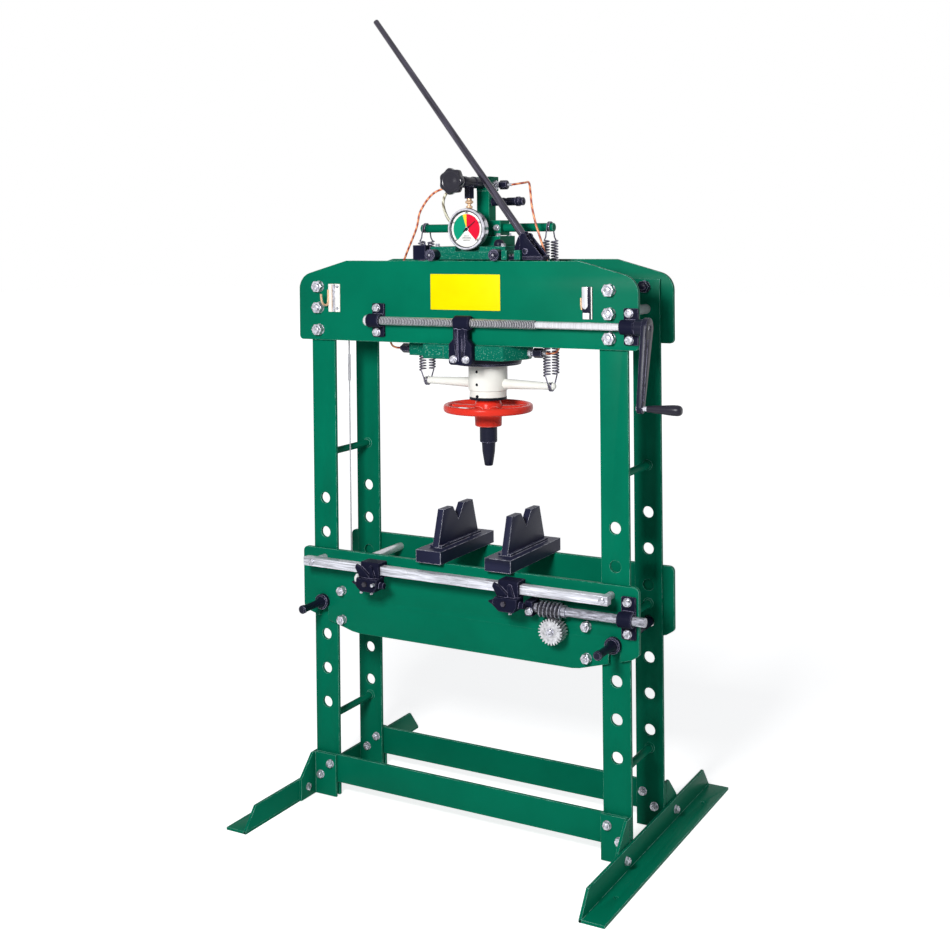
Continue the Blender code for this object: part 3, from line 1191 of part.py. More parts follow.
def bed_outline():
    """Half of a bed plate, with a slot that drops over the support pin."""
    slot = PIN_RADIUS + RUNNING_GAP
    edge = BED_SHOULDER_Z + (BED_BOTTOM_Z - BED_SHOULDER_Z) * (
        (BED_SHOULDER_X - HOLE_COLUMN_X) / (BED_SHOULDER_X - BED_BELLY_HALF_LENGTH))
    slope = (BED_SHOULDER_Z - BED_BOTTOM_Z) / (BED_SHOULDER_X - BED_BELLY_HALF_LENGTH)
    outer = [(BED_HALF_LENGTH, BED_SIDE_BOTTOM_Z), (BED_SHOULDER_X, BED_SHOULDER_Z),
             (HOLE_COLUMN_X + slot, edge + slope * slot)]
    crown = arc((HOLE_COLUMN_X, PIN_Z), slot, 0, math.pi, 8)
    inner = [(HOLE_COLUMN_X - slot, edge - slope * slot), (BED_BELLY_HALF_LENGTH, BED_BOTTOM_Z)]
    corner = BED_CORNER_RADIUS
    top = arc((BED_HALF_LENGTH - corner, BED_TOP_Z - corner), corner, math.pi / 2, 0, 3)
    return top + outer + crown + inner


def build_bed():
    right = bed_outline()
    outline = right + [(-x, z) for x, z in reversed(right)]
    winch_hole = circle((WORM_X, WINCH_Z), WINCH_SHAFT_RADIUS + SEAT_GAP, THREAD)
    front = flat("bed_plate_front", [outline, winch_hole], PLATE_THICKNESS, (0, -PLATE_Y, 0), "XZ", GREEN)
    rear = flat("bed_plate_rear", [outline, winch_hole], PLATE_THICKNESS, (0, PLATE_Y, 0), "XZ", GREEN)
    face = -PLATE_FACE_Y
    lug_low = WORM_Y - WORM_LUG_HEIGHT / 2
    lug = box("worm_lug", (WORM_LUG_X - WORM_LUG_WIDTH / 2, lug_low, WORM_Z - WORM_LUG_HEIGHT / 2),
              (WORM_LUG_X + WORM_LUG_WIDTH / 2, face + PLATE_THICKNESS / 2, WORM_Z + WORM_LUG_HEIGHT / 2))
    join(front, lug)
    cut(front, cylinder("lug_bore", WORM_SHAFT_RADIUS + SEAT_GAP, WORM_LUG_WIDTH + 2 * CUT_OVERRUN,
                        (WORM_LUG_X, WORM_Y, WORM_Z), "X", facets=THREAD))
    start = -PLATE_Y + PLATE_THICKNESS / 2 + SEAT_GAP
    length = PLATE_Y - start
    spacers = [(sign * BED_SPACER_X, BED_SPACER_Z) for _, sign in sides()]
    spacers += [(sign * BED_SPACER_X, SHEAVE_Z) for _, sign in sides()]
    spacers.append((STIFFENER_X, STIFFENER_Z))
    for i, (x, z) in enumerate(spacers):
        join(rear, cylinder(f"bed_spacer_{i}", BED_SPACER_RADIUS, length,
                            (x, start + length / 2, z), "Y", facets=SMALL))
    for side, sign in sides():
        join(rear, cylinder(f"sheave_{side}", SHEAVE_RADIUS, SHEAVE_WIDTH,
                            (sign * BED_SPACER_X, CABLE_Y, SHEAVE_Z), "Y"))


def build_pins():
    """Long support pins, pushed in from the front through both pairs of plates."""
    collar_back = -PLATE_FACE_Y - SEAT_GAP
    collar_front = collar_back - PIN_COLLAR_LENGTH
    front = PIN_GRIP_LENGTH - collar_front
    rear = -PLATE_FACE_Y - PIN_REAR_REACH
    profile = [
        (0, front), (PIN_GRIP_RADIUS, front), (PIN_GRIP_RADIUS, -collar_front),
        (PIN_COLLAR_RADIUS, -collar_front), (PIN_COLLAR_RADIUS, -collar_back),
        (PIN_RADIUS, -collar_back), (PIN_RADIUS, rear), (0, rear),
    ]
    for side, sign in sides():
        turned(f"support_pin_{side}", profile, (sign * HOLE_COLUMN_X, 0, PIN_Z), "Y", BLACK, THREAD)


def build_rail():
    half = RAIL_SIDE / 2
    back = RAIL_FRONT_Y + RAIL_SIDE
    rail = box("centre_rail", (-RAIL_HALF_LENGTH, RAIL_FRONT_Y, RAIL_Z - half),
               (RAIL_HALF_LENGTH, back, RAIL_Z + half), STEEL)
    start = back - RAIL_SIDE / 2
    end = -PLATE_FACE_Y - SEAT_GAP
    for side, sign in sides():
        join(rail, cylinder(f"rail_post_{side}", RAIL_POST_RADIUS, end - start,
                            (sign * RAIL_POST_X, (start + end) / 2, RAIL_Z), "Y", facets=SMALL))


def build_centre_clamp(side, x):
    """A saddle over the rail with a jaw below that holds a pointed centre."""
    half = RAIL_SIDE / 2
    wall = CLAMP_WALL
    saddle = box(f"centre_clamp_{side}",
                 (x - CLAMP_HALF_LENGTH, RAIL_FRONT_Y - wall, RAIL_Z - half - wall),
                 (x + CLAMP_HALF_LENGTH, RAIL_FRONT_Y + RAIL_SIDE + wall, RAIL_Z + half + wall), BLACK)
    jaw = box(f"clamp_jaw_{side}",
              (x - CLAMP_JAW_HALF_LENGTH, CLAMP_JAW_FRONT_Y, CLAMP_JAW_BOTTOM_Z),
              (x + CLAMP_JAW_HALF_LENGTH, CLAMP_JAW_BACK_Y, RAIL_Z - half - wall / 2))
    middle_y = (CLAMP_JAW_FRONT_Y + CLAMP_JAW_BACK_Y) / 2
    profile = [
        (0, CENTRE_REACH), (CENTRE_RADIUS, CENTRE_REACH - CENTRE_TAPER),
        (CENTRE_RADIUS, -CENTRE_TAIL), (0, -CENTRE_TAIL),
    ]
    centre = turned(f"centre_{side}", profile, (x, middle_y, CENTRE_Z), "X", steps=SMALL)
    centre.rotation_euler = (0, -math.pi / 2, 0)
    join(saddle, jaw, bake(centre))
    gap = SEAT_GAP
    cut(saddle, box(f"clamp_slot_{side}",
                    (x - 2 * CLAMP_HALF_LENGTH, RAIL_FRONT_Y - gap, RAIL_Z - half - gap),
                    (x + 2 * CLAMP_HALF_LENGTH, RAIL_FRONT_Y + RAIL_SIDE + gap, RAIL_Z + half + gap)))


def build_winch():
    """Worm shaft along X, worm wheel below it and the cable drum inside the bed."""
    left = WORM_X - WORM_LENGTH / 2
    right = WORM_X + WORM_LENGTH / 2
    profile = [(0, WORM_SHAFT_RIGHT_X), (WORM_SHAFT_RADIUS, WORM_SHAFT_RIGHT_X),
               (WORM_SHAFT_RADIUS, right)]
    pitch = WORM_LENGTH / (WORM_RIDGES - 0.4)
    for ridge in range(WORM_RIDGES):
        start = right - ridge * pitch
        profile += [(WORM_RADIUS, start), (WORM_RADIUS, start - 0.4 * pitch),
                    (WORM_ROOT_RADIUS, start - 0.6 * pitch)]
        if ridge < WORM_RIDGES - 1:
            profile.append((WORM_ROOT_RADIUS, start - 0.9 * pitch))
    profile += [(WORM_SHAFT_RADIUS, left), (WORM_SHAFT_RADIUS, WORM_SHAFT_LEFT_X),
                (0, WORM_SHAFT_LEFT_X)]
    turned("worm_shaft", profile, (0, WORM_Y, WORM_Z), "X", STEEL, THREAD)
    build_bearing("worm_bearing", WORM_BEARING_X, WORM_Y, WORM_Z, WORM_BEARING_WIDTH,
                  WORM_BEARING_HEIGHT, WORM_BEARING_FLANGE, WORM_BEARING_BARREL_RADIUS,
                  WORM_SHAFT_RADIUS + SEAT_GAP)
    outline = []
    for tooth in range(WHEEL_GEAR_TEETH):
        for share, radius in ((0.0, WHEEL_GEAR_ROOT_RADIUS), (0.35, WHEEL_GEAR_ROOT_RADIUS),
                              (0.50, WHEEL_GEAR_RADIUS), (0.85, WHEEL_GEAR_RADIUS)):
            angle = 2 * math.pi * (tooth + share) / WHEEL_GEAR_TEETH
            outline.append((radius * math.cos(angle), radius * math.sin(angle)))
    wheel = flat("worm_wheel", [outline], WHEEL_GEAR_THICKNESS,
                 (WORM_X, WHEEL_GEAR_FRONT_Y + WHEEL_GEAR_THICKNESS / 2, WINCH_Z), "XZ", STEEL)
    start = WHEEL_GEAR_FRONT_Y - CUT_OVERRUN
    end = PLATE_FACE_Y
    shaft = cylinder("winch_shaft", WINCH_SHAFT_RADIUS, end - start,
                     (WORM_X, (start + end) / 2, WINCH_Z), "Y", facets=THREAD)
    drum = cylinder("drum", DRUM_RADIUS, 2 * DRUM_HALF_LENGTH, (WORM_X, CABLE_Y, WINCH_Z), "Y")
    join(wheel, shaft, drum)


def build_cables():
    """Lifting cables: over the beam spacer, down under a sheave and along to the drum."""
    for side, sign in sides():
        over = BEAM_SPACER_RADIUS + SEAT_GAP + CABLE_RADIUS
        hook = arc((HOLE_COLUMN_X, BEAM_SPACER_Z), over, math.radians(20), math.pi, 8)
        drop_top = BEAM_SPACER_Z
        drop = [(CABLE_X, drop_top + (SHEAVE_Z - drop_top) * i / 4) for i in range(1, 4)]
        bend = SHEAVE_RADIUS + SEAT_GAP + CABLE_RADIUS
        turn = arc((BED_SPACER_X, SHEAVE_Z), bend, 0, -math.pi / 2, 6)
        end_x = sign * WORM_X + SEAT_GAP
        run = [(BED_SPACER_X + (end_x - BED_SPACER_X) * i / 2, CABLE_RUN_Z) for i in (1, 2)]
        route = [(sign * x, CABLE_Y, z) for x, z in hook + drop + turn + run]
        tube(f"lift_cable_{side}", route, CABLE_RADIUS, STEEL, 1)


def build_v_block(side, x):
    """Base bar across both bed plates, and the notched plate that stands between its lips."""
    bottom = BED_TOP_Z + SEAT_GAP
    top = bottom + V_BASE_HEIGHT
    half = V_BASE_WIDTH / 2
    base = box(f"v_base_{side}", (x - half, -V_BASE_HALF_LENGTH, bottom),
               (x + half, V_BASE_HALF_LENGTH, top), BLACK)
    near = V_PLATE_THICKNESS / 2 + SEAT_GAP
    for name, sign in sides():
        low, high = sorted((x + sign * near, x + sign * (near + V_LIP_WIDTH)))
        join(base, box(f"v_lip_{side}_{name}",
                       (low, -V_PLATE_FOOT_HALF_LENGTH, top - V_LIP_HEIGHT),
                       (high, V_PLATE_FOOT_HALF_LENGTH, top + V_LIP_HEIGHT)))
    foot = top + SEAT_GAP
    crest = foot + V_PLATE_HEIGHT
    outline = [
        (-V_PLATE_FOOT_HALF_LENGTH, foot), (V_PLATE_FOOT_HALF_LENGTH, foot),
        (V_PLATE_TOP_HALF_LENGTH, crest), (V_NOTCH_HALF_WIDTH, crest),
        (0, crest - V_NOTCH_DEPTH), (-V_NOTCH_HALF_WIDTH, crest), (-V_PLATE_TOP_HALF_LENGTH, crest),
    ]
    flat(f"v_plate_{side}", [outline], V_PLATE_THICKNESS, (x, 0, 0), "YZ", BLACK)


build_uprights()
build_beam()
build_base()
build_lead_screw()
build_crank()
build_cylinder_body()
build_wheelsets()
build_gland_ring()
build_nut_bracket()
build_ram()
build_handwheel()
build_nose()
build_springs()
build_column()
build_tee_valve()
build_valve_knob()
build_gauge()
build_release_valve()
build_pipes()
build_pump()
build_bed()
build_pins()
build_rail()
build_centre_clamp("left", CLAMP_LEFT_X)
build_centre_clamp("right", CLAMP_RIGHT_X)
build_winch()
build_cables()
build_v_block("left", V_BLOCK_LEFT_X)
build_v_block("right", V_BLOCK_RIGHT_X)
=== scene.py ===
import math

import bmesh
import bpy
from mathutils import Matrix, Vector


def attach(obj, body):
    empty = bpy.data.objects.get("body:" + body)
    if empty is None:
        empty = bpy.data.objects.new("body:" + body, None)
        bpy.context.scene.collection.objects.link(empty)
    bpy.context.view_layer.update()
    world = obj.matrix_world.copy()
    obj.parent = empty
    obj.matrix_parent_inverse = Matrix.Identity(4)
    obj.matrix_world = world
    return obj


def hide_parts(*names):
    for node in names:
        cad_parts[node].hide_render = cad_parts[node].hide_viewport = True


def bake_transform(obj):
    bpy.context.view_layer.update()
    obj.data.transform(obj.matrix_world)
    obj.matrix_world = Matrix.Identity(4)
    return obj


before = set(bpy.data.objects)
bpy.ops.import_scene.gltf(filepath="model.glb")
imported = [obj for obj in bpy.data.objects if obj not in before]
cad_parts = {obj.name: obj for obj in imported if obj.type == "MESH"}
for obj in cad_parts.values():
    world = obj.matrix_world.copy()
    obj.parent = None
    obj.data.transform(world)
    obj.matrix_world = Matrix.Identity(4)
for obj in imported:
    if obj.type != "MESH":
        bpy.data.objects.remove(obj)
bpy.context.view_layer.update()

print("frame loaded:", len(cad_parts), "nodes")

# Places below are measured from the frame's middle plane and the floor.
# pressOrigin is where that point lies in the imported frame.
pressOrigin = Vector((-0.05575, 0, 0))


def addNode(tree, kind, x, y):
    node = tree.nodes.new(kind)
    node.location = (x, y)
    return node


def openGroup(name, inputs, *outputs):
    tree = bpy.data.node_groups.new(name, "ShaderNodeTree")
    for label, value in inputs.items():
        socket = tree.interface.new_socket(name=label, in_out="INPUT", socket_type="NodeSocketFloat")
        socket.default_value = value
    for label in outputs:
        tree.interface.new_socket(name=label, in_out="OUTPUT", socket_type="NodeSocketFloat")
    return tree, addNode(tree, "NodeGroupInput", -1300, 0), addNode(tree, "NodeGroupOutput", 700, 0)


def feed(tree, value, socket):
    if isinstance(value, bpy.types.NodeSocket):
        tree.links.new(value, socket)
    else:
        socket.default_value = value


def feedAll(tree, node, **values):
    # an underscore stands for a space in the input's label
    for label, value in values.items():
        feed(tree, value, node.inputs[label.replace("_", " ")])


def noiseTexture(tree, x, y, vector, scale, detail=3.0, rough=0.5):
    node = addNode(tree, "ShaderNodeTexNoise", x, y)
    feedAll(tree, node, Vector=vector, Scale=scale, Detail=detail, Roughness=rough)
    return node.outputs["Fac"]


def mathNode(tree, operation, x, y, *values, clamp=False):
    node = addNode(tree, "ShaderNodeMath", x, y)
    node.operation = operation
    node.use_clamp = clamp
    for value, socket in zip(values, node.inputs):
        feed(tree, value, socket)
    return node.outputs[0]


def remap(tree, x, y, value, low, high, toLow=0.0, toHigh=1.0):
    node = addNode(tree, "ShaderNodeMapRange", x, y)
    feedAll(tree, node, Value=value, From_Min=low, From_Max=high, To_Min=toLow, To_Max=toHigh)
    return node.outputs["Result"]


def mixColors(tree, x, y, factor, a, b):
    node = addNode(tree, "ShaderNodeMix", x, y)
    node.data_type = "RGBA"
    feed(tree, factor, node.inputs[0])
    feed(tree, a, node.inputs[6])
    feed(tree, b, node.inputs[7])
    return node.outputs[2]


def objectPlace(tree, x, y):
    return addNode(tree, "ShaderNodeTexCoord", x, y).outputs["Object"]


def buildEdgeWearAndHighlight():
    # edge mask: 1 on worn edges, broken up by noise; the paints use it for real wear and for painted
    # highlights along edges
    tree, start, end = openGroup("edgeWearAndHighlight", {"Radius": 0.0015, "Amount": 0.5, "Break Up": 60.0}, "Mask")
    bevel = addNode(tree, "ShaderNodeBevel", -1000, 200)
    bevel.samples = 4
    feedAll(tree, bevel, Radius=start.outputs["Radius"])
    geometry = addNode(tree, "ShaderNodeNewGeometry", -1000, -50)
    dot = addNode(tree, "ShaderNodeVectorMath", -800, 150)
    dot.operation = "DOT_PRODUCT"
    for i, node in enumerate((bevel, geometry)):
        feed(tree, node.outputs["Normal"], dot.inputs[i])
    edge = remap(tree, -600, 150, dot.outputs["Value"], 0.997, 0.90)
    broken = noiseTexture(tree, -800, -200, objectPlace(tree, -1100, -300), start.outputs["Break Up"], 4.0,
                          0.6)
    patches = remap(tree, -600, -200, broken, 0.34, 0.54)
    edgesWornAndLit = mathNode(tree, "MULTIPLY", -350, 50, edge, patches)
    feedAll(tree, end, Mask=mathNode(tree, "MULTIPLY", -150, 50, edgesWornAndLit, start.outputs["Amount"], clamp=True))
    return tree


def buildMottle():
    # slow drift of tone plus a fine speck, both around 0.5
    tree, start, end = openGroup("mottle", {"Drift Scale": 6.0, "Speck Scale": 300.0}, "Tone", "Speck")
    place = objectPlace(tree, -1100, -100)
    tone = noiseTexture(tree, -800, 100, place, start.outputs["Drift Scale"], 4.0, 0.55)
    speck = noiseTexture(tree, -800, -200, place, start.outputs["Speck Scale"], 2.0, 0.6)
    feedAll(tree, end, Tone=tone, Speck=speck)
    return tree


def buildBrushed():
    # long fine scratches along one axis, picked by the stretch inputs
    stretch = {"Along X": 12.0, "Along Y": 900.0, "Along Z": 900.0}
    tree, start, end = openGroup("brushed", stretch, "Lines", "Haze")
    split = addNode(tree, "ShaderNodeSeparateXYZ", -900, 0)
    feed(tree, objectPlace(tree, -1100, 0), split.inputs[0])
    join = addNode(tree, "ShaderNodeCombineXYZ", -500, 0)
    for i, label in enumerate(stretch):
        scaled = mathNode(tree, "MULTIPLY", -700, 150 - 150 * i, split.outputs[i], start.outputs[label])
        feed(tree, scaled, join.inputs[i])
    lines = noiseTexture(tree, -300, 100, join.outputs[0], 1.0, 3.0, 0.7)
    haze = noiseTexture(tree, -300, -150, objectPlace(tree, -500, -300), 22.0, 3.0, 0.5)
    feedAll(tree, end, Lines=lines, Haze=haze)
    return tree


def buildCastSkin():
    # sand-cast relief: rounded grains with coarser swells
    tree, start, end = openGroup("castSkin", {"Grain Scale": 420.0, "Swell Scale": 45.0}, "Height")
    place = objectPlace(tree, -1100, 0)
    cells = addNode(tree, "ShaderNodeTexVoronoi", -800, 150)
    cells.feature = "SMOOTH_F1"
    feedAll(tree, cells, Vector=place, Scale=start.outputs["Grain Scale"])
    swell = noiseTexture(tree, -800, -150, place, start.outputs["Swell Scale"], 3.0, 0.5)
    height = mathNode(tree, "MULTIPLY_ADD", -400, 0, swell, 1.4, cells.outputs["Distance"])
    feedAll(tree, end, Height=height)
    return tree


edgeWearAndHighlight = buildEdgeWearAndHighlight()
mottle = buildMottle()
brushed = buildBrushed()
castSkin = buildCastSkin()


def placeGroup(tree, group, x, y, **values):
    node = addNode(tree, "ShaderNodeGroup", x, y)
    node.node_tree = group
    feedAll(tree, node, **values)
    return node


def openMaterial(name):
    material = bpy.data.materials.new(name)
    material.use_nodes = True
    tree = material.node_tree
    shader = tree.nodes["Principled BSDF"]
    shader.location = (500, 0)
    return material, tree, shader


def shade(color, factor=1.0):
    return tuple(c * factor for c in color) + (1.0,)


def addBump(tree, shader, height, distance, strength):
    bump = addNode(tree, "ShaderNodeBump", 250, -350)
    feedAll(tree, bump, Distance=distance, Strength=strength, Height=height)
    feedAll(tree, shader, Normal=bump.outputs["Normal"])


def paint(name, color, wearAndHighlightColor, rough=0.36, gloss=0.03, wearAndHighlight=0.9, peel=0.00012, cast=None, edge=0.0015,
          speckle=0.0):
    # sprayed enamel with a slight drift of tone, and edges tinted by the edge mask: real wear where the edge
    # colour is darker, painted highlight where it is paler
    material, tree, shader = openMaterial(name)
    skin = placeGroup(tree, mottle, -1100, 200, Drift_Scale=5.0, Speck_Scale=260.0)
    tone = remap(tree, -800, 250, skin.outputs["Tone"], 0.3, 0.7)
    body = mixColors(tree, -550, 250, tone, shade(color, 0.90), shade(color, 1.08))
    if speckle:
        grains = remap(tree, -800, 0, skin.outputs["Speck"], 0.60, 0.68, 0.0, speckle)
        body = mixColors(tree, -300, 250, grains, body, shade(wearAndHighlightColor))
    # edges take the edge colour: a darker one paints wear, a paler one paints highlight along the edges
    wearAndHighlightMask = placeGroup(tree, edgeWearAndHighlight, -900, -200, Radius=edge, Amount=wearAndHighlight, Break_Up=45.0)
    edgesWornAndLit = mixColors(tree, -50, 200, wearAndHighlightMask.outputs["Mask"], body, shade(wearAndHighlightColor))
    roughness = remap(tree, -50, -60, skin.outputs["Speck"], 0.3, 0.7, rough * 0.9, rough * 1.15)
    feedAll(tree, shader, Base_Color=edgesWornAndLit, Roughness=roughness, Specular_IOR_Level=gloss)
    if cast:
        relief = placeGroup(tree, castSkin, -400, -400, Grain_Scale=cast, Swell_Scale=cast / 9)
        addBump(tree, shader, relief.outputs["Height"], 0.0009, 0.8)
    else:
        addBump(tree, shader, skin.outputs["Speck"], peel, 0.6)
    return material


def metal(name, color, along, rough=0.3, depth=0.00004, haze=0.25, metallic=0.45, contrast=0.16):
    # machined or drawn metal with lines along one axis
    material, tree, shader = openMaterial(name)
    lines = placeGroup(tree, brushed, -900, 0, Along_X=along[0], Along_Y=along[1], Along_Z=along[2])
    tone = remap(tree, -600, 200, lines.outputs["Lines"], 0.3, 0.7)
    body = mixColors(tree, -300, 200, tone, shade(color, 1 - contrast), shade(color, 1 + 0.6 * contrast))
    roughness = remap(tree, -300, -60, lines.outputs["Haze"], 0.3, 0.7, rough * (1 - haze),
                      rough * (1 + haze))
    feedAll(tree, shader, Base_Color=body, Roughness=roughness, Metallic=metallic)
    addBump(tree, shader, lines.outputs["Lines"], depth, 0.5)
    return material


def wound(name, dark, light, pitch, rough=0.4, metallic=0.0, depth=0.0004):
    # strands laid round a cord: stripes that climb at a slant
    material, tree, shader = openMaterial(name)
    bands = addNode(tree, "ShaderNodeTexWave", -600, 100)
    bands.wave_type = "BANDS"
    bands.bands_direction = "DIAGONAL"
    feedAll(tree, bands, Vector=objectPlace(tree, -900, 100), Scale=pitch, Distortion=0.6)
    body = mixColors(tree, -200, 200, bands.outputs["Fac"], shade(dark), shade(light))
    feedAll(tree, shader, Base_Color=body, Roughness=rough, Metallic=metallic)
    addBump(tree, shader, bands.outputs["Fac"], depth, 0.6)
    return material


def plain(name, color, rough, gloss=0.3):
    # small trim: one colour with a faint drift and a speck in its gloss
    material, tree, shader = openMaterial(name)
    skin = placeGroup(tree, mottle, -900, 200, Drift_Scale=30.0, Speck_Scale=500.0)
    tone = remap(tree, -600, 250, skin.outputs["Tone"], 0.3, 0.7)
    body = mixColors(tree, -350, 250, tone, shade(color, 0.94), shade(color, 1.04))
    roughness = remap(tree, -350, -60, skin.outputs["Speck"], 0.3, 0.7, rough * 0.9, rough * 1.1)
    feedAll(tree, shader, Base_Color=body, Roughness=roughness, Specular_IOR_Level=gloss)
    return material


# the pale edge colours of the green and black enamels are painted highlights along their edges
greenEdgeHighlight = (0.36, 0.74, 0.64)
blackEdgeHighlight = (0.50, 0.47, 0.68)
greenEnamel = paint("greenEnamel", (0.0006, 0.168, 0.093), greenEdgeHighlight)
# the casting's pale edge colour is a painted highlight along its edges; its speckle uses the same colour
greenCasting = paint("greenCasting", (0.0020, 0.150, 0.095), (0.22, 0.52, 0.42), rough=0.45, cast=420.0,
                     wearAndHighlight=0.6, speckle=0.7)
blackEnamel = paint("blackEnamel", (0.009, 0.010, 0.026), blackEdgeHighlight, rough=0.30, gloss=0.14)
blackCasting = paint("blackCasting", (0.009, 0.010, 0.026), blackEdgeHighlight, rough=0.40, cast=380.0)
# blockBlack's near-white edge colour, at full amount, paints highlights along the block edges
blockBlack = paint("blockBlack", (0.017, 0.019, 0.048), (0.74, 0.74, 0.84), rough=0.38, gloss=0.10,
                   edge=0.0020, wearAndHighlight=1.0)
ivoryEnamel = paint("ivoryEnamel", (0.95, 0.94, 0.88), (0.42, 0.40, 0.40), rough=0.34, gloss=0.2, wearAndHighlight=0.35)
# red's pale edge colour paints highlights along its edges
redEnamel = paint("redEnamel", (0.74, 0.034, 0.018), (0.96, 0.52, 0.46), rough=0.24, gloss=0.14, edge=0.0018)
yellowEnamel = paint("yellowEnamel", (0.96, 0.79, 0.0), (0.30, 0.27, 0.12), rough=0.40, gloss=0.05, wearAndHighlight=0.5)
brightBar = metal("brightBar", (0.70, 0.71, 0.78), rough=0.30, along=(10.0, 200.0, 200.0), metallic=0.2,
                  contrast=0.7)
brightTurned = metal("brightTurned", (0.76, 0.76, 0.80), rough=0.24, along=(700.0, 20.0, 20.0), contrast=0.3)
zincPlate = metal("zincPlate", (0.62, 0.62, 0.69), rough=0.22, along=(150.0, 150.0, 150.0), metallic=0.5,
                  contrast=0.75)
springWire = metal("springWire", (0.17, 0.16, 0.22), rough=0.16, along=(200.0, 200.0, 200.0), metallic=0.6,
                   contrast=0.6)
oiledTube = metal("oiledTube", (0.058, 0.052, 0.078), rough=0.18, along=(260.0, 260.0, 10.0), metallic=0.35,
                  contrast=0.9)
gearSteel = metal("gearSteel", (0.42, 0.42, 0.49), rough=0.24, along=(34.0, 240.0, 240.0), contrast=0.9)
wheelSteel = metal("wheelSteel", (0.60, 0.60, 0.63), rough=0.26, along=(120.0, 120.0, 120.0), contrast=0.5)
brassPlate = metal("brassPlate", (0.72, 0.48, 0.30), rough=0.30, along=(300.0, 300.0, 20.0), metallic=0.35)
chromeRim = metal("chromeRim", (0.70, 0.69, 0.76), rough=0.16, along=(90.0, 90.0, 90.0), metallic=0.6,
                  contrast=0.4)
copperStrand = wound("copperStrand", (0.30, 0.020, 0.008), (0.92, 0.36, 0.16), 26.0, metallic=0.1)
hoseBraid = wound("hoseBraid", (0.20, 0.16, 0.10), (0.95, 0.92, 0.72), 38.0, rough=0.3)
cableStrand = wound("cableStrand", (0.16, 0.16, 0.18), (0.78, 0.78, 0.82), 160.0, metallic=0.3)
dialWhite = plain("dialWhite", (0.90, 0.89, 0.85), 0.5)
dialGreen = plain("dialGreen", (0.004, 0.30, 0.17), 0.5, gloss=0.05)
dialYellow = plain("dialYellow", (0.90, 0.70, 0.04), 0.5, gloss=0.05)
dialRed = plain("dialRed", (0.74, 0.010, 0.040), 0.5, gloss=0.05)
markBlack = plain("markBlack", (0.008, 0.008, 0.014), 0.45, gloss=0.1)
knobBlack = plain("knobBlack", (0.008, 0.007, 0.016), 0.18, gloss=0.4)
rubberBlack = plain("rubberBlack", (0.012, 0.011, 0.022), 0.30, gloss=0.25)
paleNylon = plain("paleNylon", (0.86, 0.86, 0.86), 0.4)
slots = {"green_enamel": (greenEnamel, greenCasting, dialGreen),
         "ivory_enamel": (ivoryEnamel, yellowEnamel, dialWhite, dialYellow, paleNylon),
         "black_enamel": (blackEnamel, blackCasting, blockBlack, markBlack, knobBlack, rubberBlack),
         "red_enamel": (redEnamel, dialRed),
         "bright_steel": (brightBar, brightTurned, zincPlate, springWire, gearSteel, wheelSteel, chromeRim,
                          cableStrand, brassPlate),
         "gunmetal": (oiledTube,), "copper_pipe": (copperStrand,), "clear_hose": (hoseBraid,)}
slotOf = {material.name: slot for slot, materials in slots.items() for material in materials}
print("materials built")


def turnTo(axis):
    return {"X": Matrix.Rotation(math.pi / 2, 4, "Y"), "Y": Matrix.Rotation(math.pi / 2, 4, "X"),
            "Z": Matrix.Identity(4)}[axis]


def moved(shape, matrix):
    verts, faces = shape
    return [matrix @ Vector(v) for v in verts], faces


def placeAt(at, angle, axis="Z"):
    return Matrix.Translation(at) @ Matrix.Rotation(angle, 4, axis)


def around(steps):
    return [2 * math.pi * i / steps for i in range(steps)]


def rectangle(x0, z0, x1, z1):
    return [(x0, z0), (x1, z0), (x1, z1), (x0, z1)]


def mirrored(half):
    return half + [(-x, z) for x, z in reversed(half)]


def addObject(name, data):
    thing = bpy.data.objects.new(name, data)
    bpy.context.scene.collection.objects.link(thing)
    return thing


def meshOf(thing):
    return bpy.data.meshes.new_from_object(thing.evaluated_get(bpy.context.evaluated_depsgraph_get()))


def block(low, high):
    (x0, y0, z0), (x1, y1, z1) = low, high
    verts = [(x, y, z) for x in (x0, x1) for y in (y0, y1) for z in (z0, z1)]
    return verts, [(0, 1, 3, 2), (4, 6, 7, 5), (0, 4, 5, 1), (2, 3, 7, 6), (0, 2, 6, 4), (1, 5, 7, 3)]


def turned(profile, axis, at, steps=40):
    # profile: (radius, height) pairs; Y heights run towards the operator
    verts, rings = [], []
    for radius, height in profile:
        start = len(verts)
        if radius < 1e-7:
            verts.append((0, 0, height))
        else:
            verts += [(radius * math.cos(angle), radius * math.sin(angle), height) for angle in around(steps)]
        rings.append(list(range(start, len(verts))))
    faces = []
    for low, high in zip(rings, rings[1:]):
        for i in range(steps):
            j = (i + 1) % steps
            corners = [low[i % len(low)], low[j % len(low)], high[j % len(high)], high[i % len(high)]]
            face = [c for k, c in enumerate(corners) if c not in corners[:k]]
            if len(face) > 2:
                faces.append(tuple(face))
    return moved((verts, faces), Matrix.Translation(at) @ turnTo(axis))


def rod(radius, low, high, axis, at, steps=32, chamfer=0.0):
    profile = [(radius, low), (radius, high)]
    if chamfer:
        inner = radius - chamfer
        profile = [(inner, low), (radius, low + chamfer), (radius, high - chamfer), (inner, high)]
    return turned([(0, low), *profile, (0, high)], axis, at, steps)


def tube(inner, outer, low, high, axis, at, steps, chamfer):
    edge = outer - chamfer
    return turned([(inner, low), (edge, low), (outer, low + chamfer), (outer, high - chamfer), (edge, high),
                   (inner, high), (inner, low)], axis, at, steps)


def arc(centre, radius, start, end, steps):
    return [(centre[0] + radius * math.cos(start + (end - start) * i / steps),
             centre[1] + radius * math.sin(start + (end - start) * i / steps)) for i in range(steps + 1)]


def ringHole(centre, radius, steps=36):
    return arc(centre, radius, 0, 2 * math.pi, steps)[:-1]


